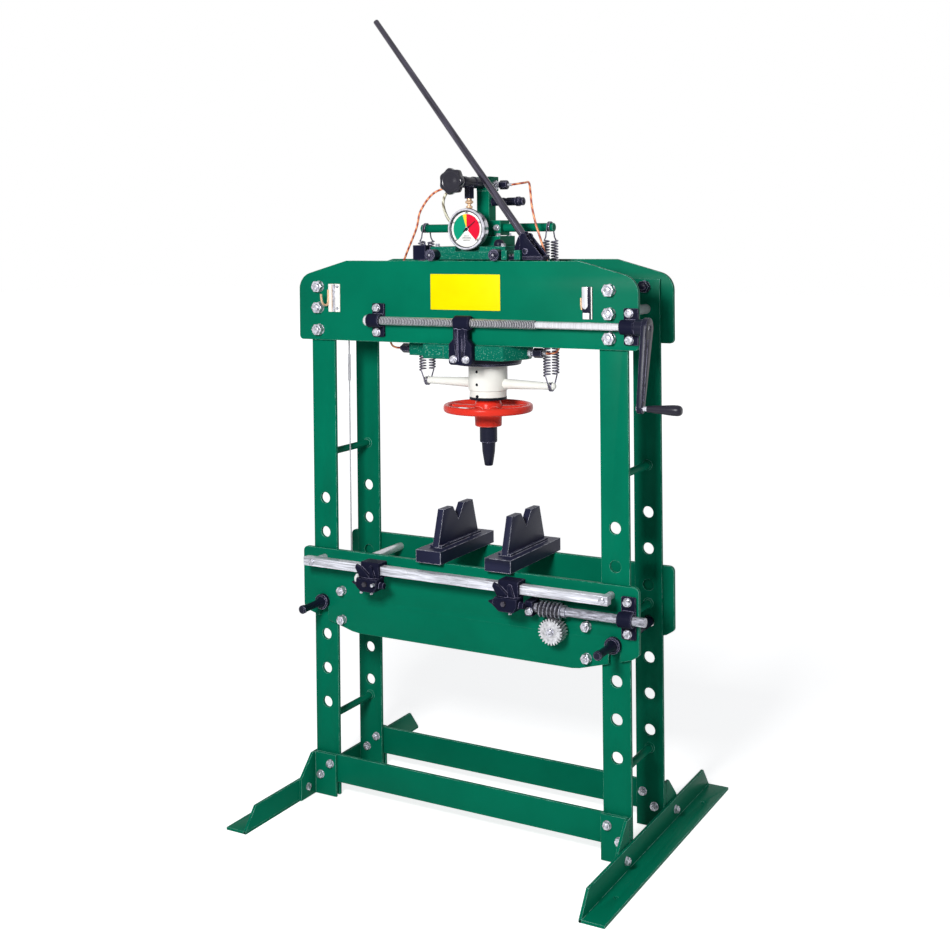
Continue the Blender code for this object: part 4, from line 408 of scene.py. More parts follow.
def roundCorners(points, radius, steps=5):
    # one radius for all the corners, or a list with one for each
    radii = radius if isinstance(radius, list) else [radius] * len(points)
    outline = []
    for i, corner in enumerate(points):
        here = Vector(corner)
        before = Vector(points[i - 1]) - here
        after = Vector(points[(i + 1) % len(points)]) - here
        half = before.angle(after) / 2
        reach = min(radii[i] / math.tan(half), before.length / 2.01, after.length / 2.01)
        size = reach * math.tan(half)
        before.normalize()
        after.normalize()
        centre = here + (before + after).normalized() * (size / math.sin(half))
        first, last = here + before * reach - centre, here + after * reach - centre
        swing = first.angle_signed(last)
        for k in range(steps + 1):
            turn = -swing * k / steps
            outline.append((centre.x + first.x * math.cos(turn) - first.y * math.sin(turn),
                            centre.y + first.x * math.sin(turn) + first.y * math.cos(turn)))
    return outline


planeTurns = {"XZ": Matrix.Rotation(math.pi / 2, 4, "X"), "XY": Matrix.Identity(4),
              "YZ": Matrix.Rotation(math.pi / 2, 4, "Z") @ Matrix.Rotation(math.pi / 2, 4, "X")}


def plate(outlines, thickness, plane, at, edge=0.0009):
    # a flat plate with eased edges; inner outlines are holes
    curve = bpy.data.curves.new("outline", "CURVE")
    curve.dimensions = "2D"
    curve.fill_mode = "BOTH"
    curve.extrude = thickness / 2 - edge
    curve.bevel_depth = edge
    curve.bevel_resolution = 1
    curve.offset = -edge
    for outline in outlines:
        spline = curve.splines.new("POLY")
        spline.points.add(len(outline) - 1)
        for point, (u, v) in zip(spline.points, outline):
            point.co = (u, v, 0, 1)
        spline.use_cyclic_u = True
    holder = addObject("outline", curve)
    mesh = meshOf(holder)
    shape = ([tuple(v.co) for v in mesh.vertices], [tuple(p.vertices) for p in mesh.polygons])
    bpy.data.objects.remove(holder)
    bpy.data.curves.remove(curve)
    bpy.data.meshes.remove(mesh)
    return moved(shape, Matrix.Translation(at) @ planeTurns[plane])


def loft(rings):
    # skin over rings of equal count, with both ends closed
    verts = [v for ring in rings for v in ring]
    sides, faces = len(rings[0]), []
    for start in range(0, len(verts) - sides, sides):
        for k in range(sides):
            m = (k + 1) % sides
            faces.append((start + k, start + m, start + sides + m, start + sides + k))
    return verts, faces + [tuple(reversed(range(sides))), tuple(range(len(verts) - sides, len(verts)))]


def sweep(points, radius, sides=10, radii=None):
    # a round tube along points, its frame carried without twist
    path = [Vector(p) for p in points]
    rings = []
    across = None
    for i, here in enumerate(path):
        ahead = (path[min(i + 1, len(path) - 1)] - path[max(i - 1, 0)]).normalized()
        if across is None:
            across = ahead.orthogonal().normalized()
        across = (across - ahead * across.dot(ahead)).normalized()
        other = ahead.cross(across)
        size = radii[i] if radii else radius
        rings.append([here + across * (size * math.cos(angle)) + other * (size * math.sin(angle))
                      for angle in around(sides)])
    return loft(rings)


def smoothPath(points, spacing):
    knots = [Vector(p) for p in points]
    padded = [2 * knots[0] - knots[1], *knots, 2 * knots[-1] - knots[-2]]
    path = []
    for a, b, c, d in zip(padded, padded[1:], padded[2:], padded[3:]):
        steps = max(2, round((c - b).length / spacing))
        for i in range(steps):
            t = i / steps
            path.append(0.5 * (2 * b + (c - a) * t + (2 * a - 5 * b + 4 * c - d) * t * t
                               + (3 * b - a - 3 * c + d) * t * t * t))
    path.append(knots[-1])
    return path


def hexNut(across, height, axis, at, stud=0.0, studRadius=0.0, washer=0.0, washerHeight=0.0, dished=False):
    # chamfered hexagon on an optional washer, with an optional threaded stud end
    steps, inner = 48, across / 2
    rim = top = washerHeight + height

    def hexRadius(angle):
        return inner / math.cos((angle % (math.pi / 3)) - math.pi / 6)

    def crown(angle):
        return rim - (hexRadius(angle) - inner * 0.96) * 0.55

    rows = [(hexRadius, washerHeight), (hexRadius, crown), (inner * 0.96, rim)]
    if washer:
        rows = [(washer, 0.0), (washer, washerHeight * 0.8), (washer * 0.97, washerHeight), *rows]
    if stud:
        rows += [(studRadius * 1.06, top), (studRadius, top - 0.0004), (studRadius, top + stud * 0.75),
                 (studRadius * 0.82, top + stud)]
        top += stud
    elif dished:
        rows += [(inner * 0.62, top), (inner * 0.55, top - height * 0.12)]
        top -= height * 0.12
    verts, faces = [], []
    for row in rows:
        for angle in around(steps):
            radius, level = (value(angle) if callable(value) else value for value in row)
            verts.append((radius * math.cos(angle), radius * math.sin(angle), level))
    verts.append((0, 0, top))
    last = len(verts) - 1
    for start in range(0, last, steps):
        for i in range(steps):
            j = (i + 1) % steps
            if start + steps < last:
                faces.append((start + i, start + j, start + steps + j, start + steps + i))
            else:
                faces.append((start + i, start + j, last))
    faces.append(tuple(reversed(range(steps))))
    return moved((verts, faces), Matrix.Translation(at) @ turnTo(axis))


def bolt(across, height, axis, at, washer, washerHeight):
    return hexNut(across, height, axis, at, washer=washer, washerHeight=washerHeight, dished=True)


def flipped(shape):
    # mirrored front to back, for fittings behind the rear plates
    verts, faces = shape
    return [Vector((v[0], -v[1], v[2])) for v in map(Vector, verts)], [tuple(reversed(f)) for f in faces]


def makePiece(name, shapes, material, body, replaces=(), bevel=0.0, angle=38, ride=True):
    verts, faces = [], []
    for shapeVerts, shapeFaces in shapes:
        base = len(verts)
        verts += [tuple(v) for v in shapeVerts]
        faces += [tuple(i + base for i in face) for face in shapeFaces]
    mesh = bpy.data.meshes.new(name)
    mesh.from_pydata(verts, [], faces)
    bm = bmesh.new()
    bm.from_mesh(mesh)
    bmesh.ops.remove_doubles(bm, verts=bm.verts, dist=1e-6)
    bmesh.ops.recalc_face_normals(bm, faces=bm.faces)
    bm.to_mesh(mesh)
    bm.free()
    mesh.shade_smooth()
    mesh.set_sharp_from_angle(angle=math.radians(angle))
    mesh.materials.append(material)
    piece = addObject(name, mesh)
    piece.location = pressOrigin
    if bevel:
        ease = piece.modifiers.new("ease", "BEVEL")
        ease.width = bevel
        ease.segments = 2
        ease.limit_method = "ANGLE"
        ease.angle_limit = math.radians(angle)
    if ride:
        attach(piece, body)
    if replaces:
        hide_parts(*replaces)
    return piece


bothSides = (("Left", "left", -1), ("Right", "right", 1))
bothFaces = (("Front", -1), ("Rear", 1))
# the gap kept between parts that touch or turn in each other
fit = 0.0003

uprights = {"column": 0.459, "width": 0.080, "thickness": 0.010, "bottom": 0.004, "top": 1.510,
            "middleY": 0.113, "lowestHole": 0.270, "pitch": 0.100, "holes": 7, "holeRadius": 0.016,
            "rods": (0.222, 0.620, 1.000), "rodRadius": 0.010, "spacerRadius": 0.0135, "spacerHeight": 1.428}


def makeUprights(u):
    half, r = u["width"] / 2, u["rodRadius"]
    bar = rectangle(-half, u["bottom"], half, u["top"])
    holes = [ringHole((0, u["lowestHole"] + i * u["pitch"]), u["holeRadius"]) for i in range(u["holes"])]
    reach = u["middleY"] - u["thickness"] / 2 - fit
    # the weld that runs round each rod where it meets the rear bar
    bead = reach + 0.0004
    weld = [(r, -bead + 0.005), (r + 0.003, -bead + 0.0022), (r + 0.0046, -bead)]
    for title, side, sign in bothSides:
        x = sign * u["column"]
        for place, front in bothFaces:
            shapes = [plate([bar, *holes], u["thickness"], "XZ", (x, front * u["middleY"], 0))]
            if place == "Rear":
                for z in u["rods"]:
                    shapes.append(rod(r, -reach - 0.002, reach, "Y", (x, 0, z)))
                    shapes.append(turned(weld, "Y", (x, 0, z), 28))
                spacer = rod(u["spacerRadius"], -reach, reach, "Y", (x, 0, u["spacerHeight"]))
                makePiece(f"beamSpacer{title}", [spacer], brightTurned, "frame")
            makePiece(f"upright{place}{title}", shapes, greenEnamel, "frame",
                      [f"upright_{place.lower()}_{side}"])


makeUprights(uprights)

beam = {"halfLength": 0.534, "topHalf": 0.368, "shoulderZ": 1.518, "shoulder": 0.050, "top": 1.564,
        "bottom": 1.334, "corner": 0.012, "thickness": 0.013, "middleY": 0.1248}


def makeBeam(b):
    half = [(b["topHalf"], b["top"]), (b["halfLength"], b["shoulderZ"]), (b["halfLength"], b["bottom"])]
    radii = [b["corner"], b["shoulder"], b["corner"]]
    outline = roundCorners(mirrored(half), radii + radii[::-1], 8)
    for place, front in bothFaces:
        makePiece(f"beamPlate{place}", [plate([outline], b["thickness"], "XZ", (0, front * b["middleY"], 0))],
                  greenEnamel, "frame", [f"beam_plate_{place.lower()}"])


makeBeam(beam)

base = {"barBottom": 0.045, "barTop": 0.125, "barInner": 0.1183, "barThickness": 0.010, "halfLength": 0.499,
        "gussetY": 0.1286, "gussetBottom": 0.003, "gussetThickness": 0.008, "gussetReach": 0.078,
        "gussetTopReach": 0.021, "gussetSlope": 0.066, "innerX": 0.419,
        "footInner": 0.4993, "footWidth": 0.0677, "footThickness": 0.008, "footHeight": 0.064,
        "footHalf": 0.450, "footBevel": 0.045, "holeRadius": 0.006, "holeY": 0.312}


def makeBase(b):
    end, top, low, thick = b["halfLength"], b["barTop"], b["gussetBottom"], b["gussetThickness"]
    bar = rectangle(-end, b["barBottom"], end, top)
    for place, front in bothFaces:
        y = front * (b["barInner"] + b["barThickness"] / 2)
        makePiece(f"baseBar{place}", [plate([bar], b["barThickness"], "XZ", (0, y, 0))],
                  greenEnamel, "frame", [f"base_bar_{place.lower()}"])
        near = front * b["gussetY"]
        tip = near + front * b["gussetReach"]
        for title, side, sign in bothSides:
            leg = plate([rectangle(sign * b["innerX"], low, sign * end, top)],
                        thick, "XZ", (0, near + front * thick / 2, 0))
            wing = plate([[(near, low), (tip, low), (tip, b["gussetSlope"]),
                           (near + front * b["gussetTopReach"], top), (near, top)]],
                         thick, "YZ", (sign * end - sign * thick / 2, 0, 0))
            makePiece(f"gusset{place}{title}", [leg, wing], greenEnamel, "frame",
                      [f"gusset_{place.lower()}_{side}"])
    half, thick = b["footHalf"], b["footThickness"]
    profile = mirrored([(half, 0), (half, thick), (half - b["footBevel"], b["footHeight"])])
    for title, side, sign in bothSides:
        web = plate([profile], thick, "YZ", (sign * (b["footInner"] + thick / 2), 0, 0))
        inner, outer = sign * b["footInner"], sign * (b["footInner"] + b["footWidth"])
        low, high = min(inner, outer), max(inner, outer)
        holeX = (outer + inner + sign * thick) / 2
        holes = [ringHole((holeX, y), b["holeRadius"], 20) for y in (-b["holeY"], b["holeY"])]
        sole = plate([rectangle(low, -half, high, half), *holes], thick, "XY", (0, 0, thick / 2))
        makePiece(f"foot{title}", [web, sole], greenEnamel, "frame", [f"foot_{side}"])


makeBase(base)
print("frame plates made")

beamBolts = {"across": 0.030, "height": 0.016, "stud": 0.004, "studRadius": 0.009, "washer": 0.0165,
             "washerHeight": 0.003, "x": 0.459, "shift": -0.003, "heights": (1.489, 1.428, 1.364),
             "face": 0.1313, "inside": 0.1083}
bedBolts = {"across": 0.0235, "height": 0.015, "stud": 0.004, "studRadius": 0.0065, "washer": 0.0130,
            "washerHeight": 0.0022, "x": 0.387, "shift": -0.004, "heights": (0.609, 0.525), "face": 0.1313}
baseBolts = {"across": 0.019, "height": 0.008, "stud": 0.003, "studRadius": 0.0055, "washer": 0.0120,
             "washerHeight": 0.0018, "places": ((0.438, 0.098), (0.472, 0.062)), "face": 0.1366,
             "inside": 0.1083, "footY": 0.175, "footZ": 0.035, "footFace": 0.5073, "webFace": 0.491}


def nutsOf(b, face, places):
    return [hexNut(b["across"], b["height"], "Y", (x, face, z), b["stud"], b["studRadius"], b["washer"],
                   b["washerHeight"]) for x, z in places]


def bothWays(shapes):
    return shapes + [flipped(shape) for shape in shapes]


def makeBolts(beamOnes, bedOnes, baseOnes):
    for title, _, sign in bothSides:
        b = beamOnes
        places = [(sign * b["x"] + b["shift"], z) for z in b["heights"]]
        makePiece(f"beamNuts{title}", bothWays(nutsOf(b, -b["face"], places)), zincPlate, "frame")
        makePiece(f"beamHeads{title}", bothWays(nutsOf(b, b["inside"], places[::2])), blackEnamel, "frame")
        b = bedOnes
        places = [(sign * b["x"] + b["shift"], z) for z in b["heights"]]
        makePiece(f"bedNuts{title}", bothWays(nutsOf(b, -b["face"], places)), zincPlate, "bed")
        b = baseOnes
        places = [(sign * x, z) for x, z in b["places"]]
        makePiece(f"baseHeads{title}", bothWays(nutsOf(b, b["inside"], places)), zincPlate, "frame")
        nuts = bothWays(nutsOf(b, -b["face"], places))
        # nuts outside the foot's web and heads behind it
        for y in (-b["footY"], b["footY"]):
            at = (0, y, b["footZ"])
            nut = hexNut(b["across"], b["height"], "X", at, b["stud"], b["studRadius"], b["washer"],
                         b["washerHeight"])
            head = hexNut(b["across"], b["height"] * 0.8, "X", at, dished=True)
            for shape, x, way in ((nut, b["footFace"], sign), (head, b["webFace"], -sign)):
                turn = Matrix.Scale(way, 4, (1, 0, 0))
                nuts.append(moved(shape, Matrix.Translation((sign * x, 0, 0)) @ turn))
        makePiece(f"baseNuts{title}", nuts, zincPlate, "frame")


makeBolts(beamBolts, bedBolts, baseBolts)

screw = {"y": -0.158, "z": 1.396, "pitch": 0.005, "outer": 0.0120, "root": 0.0094, "threadLow": -0.2337,
         "threadHigh": 0.256, "plain": 0.010, "capLow": -0.2873, "capHigh": -0.2747, "cap": 0.016,
         "crankEnd": 0.561, "bearingLeft": -0.2542, "bearingRight": 0.5165, "bearingWidth": 0.040,
         "flange": (0.0080, 0.095), "barrel": 0.0195, "boltRise": 0.0345, "boltShift": -0.004}


def helixThread(low, high, pitch, root, outer, axisAt, steps=20, crest=0.20):
    # one ridge wound along X: root, flank, crest, flank
    profile = ((0.0, root), (0.32 - crest / 2, root), (0.52 - crest / 2, outer), (0.52 + crest / 2, outer),
               (0.72 + crest / 2, root))
    turns = (high - low) / pitch
    count = int(turns * steps)
    verts, faces, rows = [], [], len(profile)
    for i in range(count + 1):
        angle = 2 * math.pi * i / steps
        start = low + pitch * i / steps
        for share, radius in profile:
            x = min(max(start + (share - 0.5) * pitch, low), high)
            verts.append((x, axisAt[1] + radius * math.sin(angle), axisAt[2] + radius * math.cos(angle)))
    for i in range(count):
        for k in range(rows - 1):
            a = i * rows + k
            faces.append((a, a + 1, a + rows + 1, a + rows))
    for i in range(count + 1 - steps):
        a, b = i * rows + rows - 1, (i + steps) * rows
        if i + steps < count:
            faces.append((a, b, b + rows, a + rows))
    return verts, faces


def makeScrew(s):
    centre = (0, s["y"], s["z"])
    low, high, root = s["threadLow"], s["threadHigh"], s["root"]
    cap, capLow, capHigh, shank = s["cap"], s["capLow"], s["capHigh"], s["plain"]
    thread = helixThread(low, high, s["pitch"], root, s["outer"], centre)
    core = turned([(0, capLow), (cap - 0.007, capLow + 0.0006), (cap - 0.002, capLow + 0.0032),
                   (cap, capLow + 0.007), (cap, capHigh), (shank, capHigh), (shank, low),
                   (root - 0.0002, low), (root - 0.0002, high), (shank, high + 0.002), (shank, s["crankEnd"]),
                   (0, s["crankEnd"])], "X", centre, 40)
    makePiece("leadScrew", [thread, core], brightTurned, "screw", ["lead_screw"], angle=30)
    # a dark rod in the thread's root paints shade into the grooves
    makePiece("leadScrewRootShade", [rod(root + 0.0012, low, high, "X", centre)], knobBlack, "screw")
    for title, side, _ in bothSides:
        makeBearing(f"screwBearing{title}", f"screw_bearing_{side}", "frame",
                    (s[f"bearing{title}"], s["y"], s["z"]), s["bearingWidth"], s["flange"], s["barrel"],
                    s["boltRise"], s["boltShift"])


def makeBearing(name, node, body, at, width, flange, barrel, boltRise, boltShift, face=-0.1316):
    # cast bearing: bolted flange, web swelling into the barrel
    x, y, z = at
    depth, height = flange
    half = width / 2
    cheek = half * 0.72
    outline = roundCorners(rectangle(-half, -height / 2, half, height / 2), 0.004, 3)
    cap = [(barrel * 0.46, half - 0.004), (barrel * 0.9, half + 0.0002), (barrel * 0.62, half + 0.0002)]
    shapes = [plate([outline], depth, "XZ", (x, face - depth / 2, z), 0.0012),
              block((x - cheek, y + 0.004, z - barrel * 0.95),
                    (x + cheek, face - depth * 0.5, z + barrel * 0.95)),
              tube(barrel * 0.60, barrel, -half, half, "X", at, 36, 0.002), turned(cap, "X", at, 28)]
    makePiece(name, shapes, blackCasting, body, [node], bevel=0.0012)
    bolts = [bolt(0.0190, 0.0075, "Y", (x + boltShift, face - depth, z + r), 0.0118, 0.0018)
             for r in (-boltRise, boltRise)]
    makePiece(name + "Bolts", bolts, zincPlate, body)


makeScrew(screw)

crank = {"hubStart": 0.537, "hubRadius": 0.021, "hubLength": 0.024, "armThickness": 0.015, "length": 0.204,
         "lean": math.radians(13.6), "wide": 0.026, "narrow": 0.013, "square": 0.0088,
         "gripLength": 0.1015, "grip": 0.0135, "neck": 0.0065, "pin": 0.008,
         "gripShares": ((0.62, 0.20), (0.74, 0.30), (0.80, 0.48), (0.92, 0.64), (1.0, 0.78), (1.0, 0.90),
                        (0.90, 0.96), (0.66, 0.995), (0.0, 1.0))}


def makeCrank(c, s):
    y, z, thick = s["y"], s["z"], c["armThickness"]
    tip = -c["length"] * Vector((math.sin(c["lean"]), math.cos(c["lean"])))
    along = math.atan2(tip.y, tip.x)
    start = c["hubStart"] + c["hubLength"]
    end = start + thick
    outline = (arc((0, 0), c["wide"], along + math.pi / 2, along + 3 * math.pi / 2, 16)
               + arc(tip, c["narrow"], along - math.pi / 2, along + math.pi / 2, 12))
    socket = arc((0, 0), c["square"], along + math.pi / 4, along + 9 * math.pi / 4, 4)[:-1]
    middle = (start + end) / 2
    arm = plate([outline, socket], thick, "YZ", (middle, y, z), 0.0022)
    hubStart, hubRadius = c["hubStart"], c["hubRadius"]
    hub = turned([(0.0104, hubStart), (hubRadius - 0.002, hubStart), (hubRadius, hubStart + 0.002),
                  (hubRadius + 0.001, start + 0.002)], "X", (0, y, z), 36)
    # raised rib down the arm, as on a forged crank
    direction = tip.normalized()
    across = Vector((-direction.y, direction.x))
    ribStart, ribEnd = direction * 0.03, tip - direction * 0.018
    rib = [tuple(ribStart + across * 0.0085), tuple(ribEnd + across * 0.0045),
           tuple(ribEnd - across * 0.0045), tuple(ribStart - across * 0.0085)]
    ribShape = plate([roundCorners(rib, 0.004, 4)], 0.004, "YZ", (end, y, z), 0.0012)
    makePiece("crankArm", [arm, hub, ribShape], blackEnamel, "screw", ["crank"], angle=40)
    square = plate([[(u * 0.93, v * 0.93) for u, v in socket]], thick * 0.8, "YZ", (middle - 0.001, y, z),
                   0.0006)
    makePiece("crankSquare", [square], zincPlate, "screw")
    neck, length, grip, pin = c["neck"], c["gripLength"], c["grip"], c["pin"]
    profile = [(0, -0.012), (neck, -0.012), (neck, length * 0.10), (grip * 0.62, length * 0.11)]
    profile += [(grip * r, length * h) for r, h in c["gripShares"]]
    at = (end, y + tip.x, z + tip.y)
    makePiece("crankGrip", [turned(profile, "X", at, 36)], rubberBlack, "screw", angle=60)
    profile = [(0, -thick - 0.002), (pin, -thick - 0.002), (pin, -thick), (pin - 0.0012, -thick),
               (pin - 0.0012, length * 0.105), (0, length * 0.105)]
    makePiece("crankPin", [turned(profile, "X", at, 24)], zincPlate, "screw")


makeCrank(crank, screw)
print("lead screw and crank made")

carriage = {"x": 0.023, "topHalfLength": 0.118, "topHalfDepth": 0.112, "topLow": 1.567, "topHigh": 1.603,
            "pocketHalf": 0.0381, "pocketY": -0.080, "pocketZ": 1.5897, "barrel": 0.085,
            "boss": 0.160, "bossFront": -0.068, "bossBack": -0.037, "side": 0.126, "sideBack": 0.036,
            "rearHalf": 0.068, "depth": 0.146, "flangeLow": 1.2937, "flangeHigh": 1.3337,
            "portEnd": -0.190, "portY": (-0.077, -0.037), "portZ": (1.294, 1.330),
            "lugs": ((0.1395, 0.156), (0.178, 0.1965)), "lugY": (-0.133, -0.1195), "lugTop": 1.593,
            "stop": ((-0.139, -0.135, 1.5665), (-0.098, -0.107, 1.6075)),
            "stopLink": ((-0.103, -0.111, 1.568), (-0.088, -0.108, 1.602)),
            "prongs": ((0.0024, 1.602, 1.6165, -0.108, -0.121), (0.0024, 1.602, 1.6135, -0.100, -0.113),
                       (0.0036, 1.606, 1.6095, -0.108, -0.121)),
            "padLeft": 0.118, "padRight": 0.060, "portBolt": (0.139, -0.0985), "boltX": 0.104, "boltY": 0.096,
            "roller": 0.016, "rollerSpread": 0.100, "rollerZ": 1.5803, "rollerInner": 0.1148,
            "rollerOuter": 0.1478, "axle": 0.0085}


def makeCarriage(c):
    x, half, depth, pocket = c["x"], c["topHalfLength"], c["topHalfDepth"], c["pocketHalf"]
    flangeLow, flangeHigh, front = c["flangeLow"], c["flangeHigh"], -c["depth"]
    notched = mirrored([(pocket, c["pocketY"]), (pocket, -depth), (half, -depth), (half, depth)])
    side, boss = c["side"], c["boss"]
    flange = mirrored([(side, front), (boss, c["bossFront"]), (boss, c["bossBack"]), (side, c["bossBack"]),
                       (side, c["sideBack"]), (c["rearHalf"], c["depth"])])
    notchLow = c["pocketZ"] - 0.003
    shapes = []
    layers = ((rectangle(-half, -depth, half, depth), c["topLow"], c["pocketZ"], 0.0014),
              (notched, notchLow, c["topHigh"], 0.0014),
              (roundCorners(flange, 0.005, 3), flangeLow, flangeHigh, 0.003))
    for outline, low, high, edge in layers:
        shapes.append(plate([outline], high - low, "XY", (x, 0, (low + high) / 2), edge))
    shapes.append(rod(c["barrel"], flangeHigh - 0.01, c["topLow"] + 0.01, "Z", (x, 0, 0), 64))
    (portFront, portBack), (portLow, portHigh) = c["portY"], c["portZ"]
    shapes.append(block((c["portEnd"], portFront, portLow), (x - side, portBack, portHigh)))
    # the pad on the front face, left of the nut bracket
    shapes.append(block((x - c["padLeft"], front - 0.0022, flangeLow + 0.006),
                        (x - c["padRight"], front + 0.004, flangeHigh - 0.005)))
    # lugs right of the right roller
    for low, high in c["lugs"]:
        shapes.append(block((low, c["lugY"][0], c["topLow"]), (high, c["lugY"][1], c["lugTop"])))
    makePiece("carriageCasting", shapes, greenCasting, "carriage", ["cylinder_body"], bevel=0.0012)
    makePiece("endStop", [block(*c["stop"]), block(*c["stopLink"])], blackCasting, "carriage", bevel=0.004)
    prongs = [rod(r, low, high, "Z", (px, py, 0), 14, 0.0004) for r, low, high, px, py in c["prongs"]]
    makePiece("stopProngs", prongs, blackEnamel, "carriage")
    left, y = c["portBolt"]
    bolts = [hexNut(0.010, 0.006, "Y", (x - left, y, portHigh - 0.014), washer=0.0065, washerHeight=0.001)]
    bolts += [bolt(0.012, 0.007, "Z", (x + a * c["boltX"], b * c["boltY"], c["topHigh"]), 0.0078, 0.0012)
              for a in (-1, 1) for b in (-1, 1)]
    makePiece("carriageBolts", bolts, zincPlate, "carriage")


makeCarriage(carriage)


def makeRollers(c):
    inner, outer, r, axle = c["rollerInner"], c["rollerOuter"], c["roller"], c["axle"]
    half = [(0, outer + 0.0028), (axle * 0.42, outer + 0.0028), (axle * 0.42, outer + 0.0018),
            (axle * 0.86, outer + 0.0022), (axle, outer + 0.0014), (axle, outer - 0.0024),
            (r * 0.72, outer - 0.0028), (r * 0.78, outer - 0.0002), (r * 0.95, outer - 0.0002),
            (r, outer - 0.0012), (r, inner + 0.001), (r - 0.001, inner), (axle, inner)]
    profile = half + [(a, -b) for a, b in reversed(half)]
    for title, side, sign in bothSides:
        at = (c["x"] + sign * c["rollerSpread"], 0, c["rollerZ"])
        makePiece(f"rollers{title}", [turned(profile, "Y", at, 48)], blackEnamel, f"rollers_{side}",
                  [f"roller_axle_{side}"], angle=30)
        ends = [end * (outer + 0.0018) for end in (-1, 1)]
        caps = [rod(axle * 0.40, end - 0.0012, end + 0.0012, "Y", at, 20, 0.0004) for end in ends]
        makePiece(f"rollerPins{title}", caps, zincPlate, f"rollers_{side}")


makeRollers(carriage)

gland = {"radius": 0.0962, "high": 1.2934, "low": 1.2704, "bore": 0.0503, "holes": 6, "hole": 0.0042,
         "firstHole": math.radians(20)}


def makeGland(g, x):
    r, bore, low, high = g["radius"], g["bore"], g["low"], g["high"]
    profile = [(bore, high), (r, high), (r, low + 0.006), (r - 0.0015, low + 0.0045),
               (r - 0.0015, low + 0.001), (r - 0.0030, low), (bore + 0.002, low), (bore, low + 0.002),
               (bore, high)]
    makePiece("glandRing", [turned(profile, "Z", (x, 0, 0), 80)], blackEnamel, "carriage", ["gland_ring"],
              angle=30)
    # dark discs on the ring's rim paint the shade inside its holes
    hole = rod(g["hole"], r - 0.012, r + 0.0002, "X", (0, 0, 0), 16)
    middle = (x, 0, (high + low) / 2 + 0.002)
    holes = [moved(hole, placeAt(middle, g["firstHole"] + turn)) for turn in around(g["holes"])]
    makePiece("glandHoleShade", holes, markBlack, "carriage")


makeGland(gland, carriage["x"])

nutBracket = {"x": 0.028, "halfWidth": 0.036, "low": 1.281, "lobe": 1.338, "neck": 0.022, "neckZ": 1.352,
              "faceY": -0.1463, "depth": 0.022, "nutX": 0.034, "nutHalf": 0.026, "nut": 0.020,
              "boltX": 0.0195, "boltZ": 1.297}


def makeNutBracket(n, s):
    half, low, lobe, neck, x = n["halfWidth"], n["low"], n["lobe"], n["neck"], n["x"]
    outline = mirrored([(half, low), (half, lobe), (neck, n["neckZ"]), (neck, s["z"])])
    front = n["faceY"] - n["depth"]
    shapes = [plate([roundCorners(outline, 0.009, 5)], n["depth"], "XZ", (x, n["faceY"] - n["depth"] / 2, 0),
                    0.003)]
    # two ribs climb to the nut with a hollow between them
    for side in (-1, 1):
        rib = [(side * 0.0045, low + 0.010), (side * 0.013, low + 0.024), (side * 0.017, lobe),
               (side * 0.014, s["z"]), (side * 0.006, s["z"])]
        shapes.append(plate([rib], 0.006, "XZ", (x, front, 0), 0.0018))
    at = (n["nutX"], s["y"], s["z"])
    shapes.append(tube(s["outer"] + fit, n["nut"], -n["nutHalf"], n["nutHalf"], "X", at, 40, 0.003))
    makePiece("nutBracket", shapes, blackCasting, "carriage", ["nut_bracket"], bevel=0.0015)
    bolts = [bolt(0.0165, 0.007, "Y", (x + a * n["boltX"], front + 0.0005, n["boltZ"]), 0.0105, 0.0016)
             for a in (-1, 1)]
    makePiece("nutBracketBolts", bolts, zincPlate, "carriage")


makeNutBracket(nutBracket, screw)

ramParts = {"rod": 0.050, "rodTop": 1.500, "sleeve": 0.0555, "skirt": 0.0525, "skirtTop": 1.197,
            "sleeveTop": 1.2701, "sleeveLow": 1.171, "bore": 0.0203, "boreTop": 1.2600, "armZ": 1.216,
            "arm": 0.0105, "armRoot": 0.0155, "armHalf": 0.213, "holeRadius": 0.0042,
            "holeTurn": math.radians(-96), "holeHeights": (1.252, 1.216, 1.183), "bandHeight": 0.008}


def makeRam(r, x):
    # the bore's wall hides inside the sleeve; the nose's thread runs up it
    stem, sleeve, skirt = r["rod"], r["sleeve"], r["skirt"]
    top, low, arm = r["sleeveTop"], r["sleeveLow"], r["arm"]
    profile = [(0, r["rodTop"]), (stem - 0.002, r["rodTop"]), (stem, r["rodTop"] - 0.002), (stem, top),
               (sleeve - 0.001, top), (sleeve, top - 0.001), (sleeve, r["skirtTop"] + 0.001),
               (skirt, r["skirtTop"] - 0.001), (skirt, low + 0.0015), (skirt - 0.0015, low),
               (r["bore"], low), (r["bore"], r["boreTop"]), (0, r["boreTop"])]
    start, length, root = sleeve - 0.004, r["armHalf"], r["armRoot"]
    half = [(0, start), (root, start), (root * 0.93, start + 0.012), (arm, length - 0.040)]
    half += arc((0, length - arm), arm, 0, math.pi / 2, 8)[1:-1] + [(0, length)]
    shapes = [turned(profile, "Z", (x, 0, 0), 80)]
    shapes += [turned([(a, sign * b) for a, b in half], "X", (x, 0, r["armZ"]), 32) for sign in (-1, 1)]
    makePiece("ramSleeve", shapes, ivoryEnamel, "ram", ["ram_sleeve"], angle=35)
    # dark discs on the sleeve paint the shade inside its screw holes
    hole = rod(r["holeRadius"], sleeve - 0.006, sleeve + 0.0002, "X", (0, 0, 0), 20)
    holes = [moved(hole, placeAt((x, 0, z), r["holeTurn"])) for z in r["holeHeights"]]
    makePiece("ramScrewHoleShade", holes, markBlack, "ram")
    band = rectangle(skirt - 0.003, low + 0.0002, skirt + 0.0005, low + r["bandHeight"])
    makePiece("ramBand", [turned([*band, band[0]], "Z", (x, 0, 0), 80)], markBlack, "ram")


makeRam(ramParts, carriage["x"])

wheel = {"radius": 0.127, "rimWidth": 0.015, "rimHeight": 0.021, "z": 1.147, "hub": 0.039, "hubTop": 1.1707,
         "hubLow": 1.095, "spokes": 5, "spokeWidth": 0.020, "spokeThick": 0.010, "bore": 0.0203}


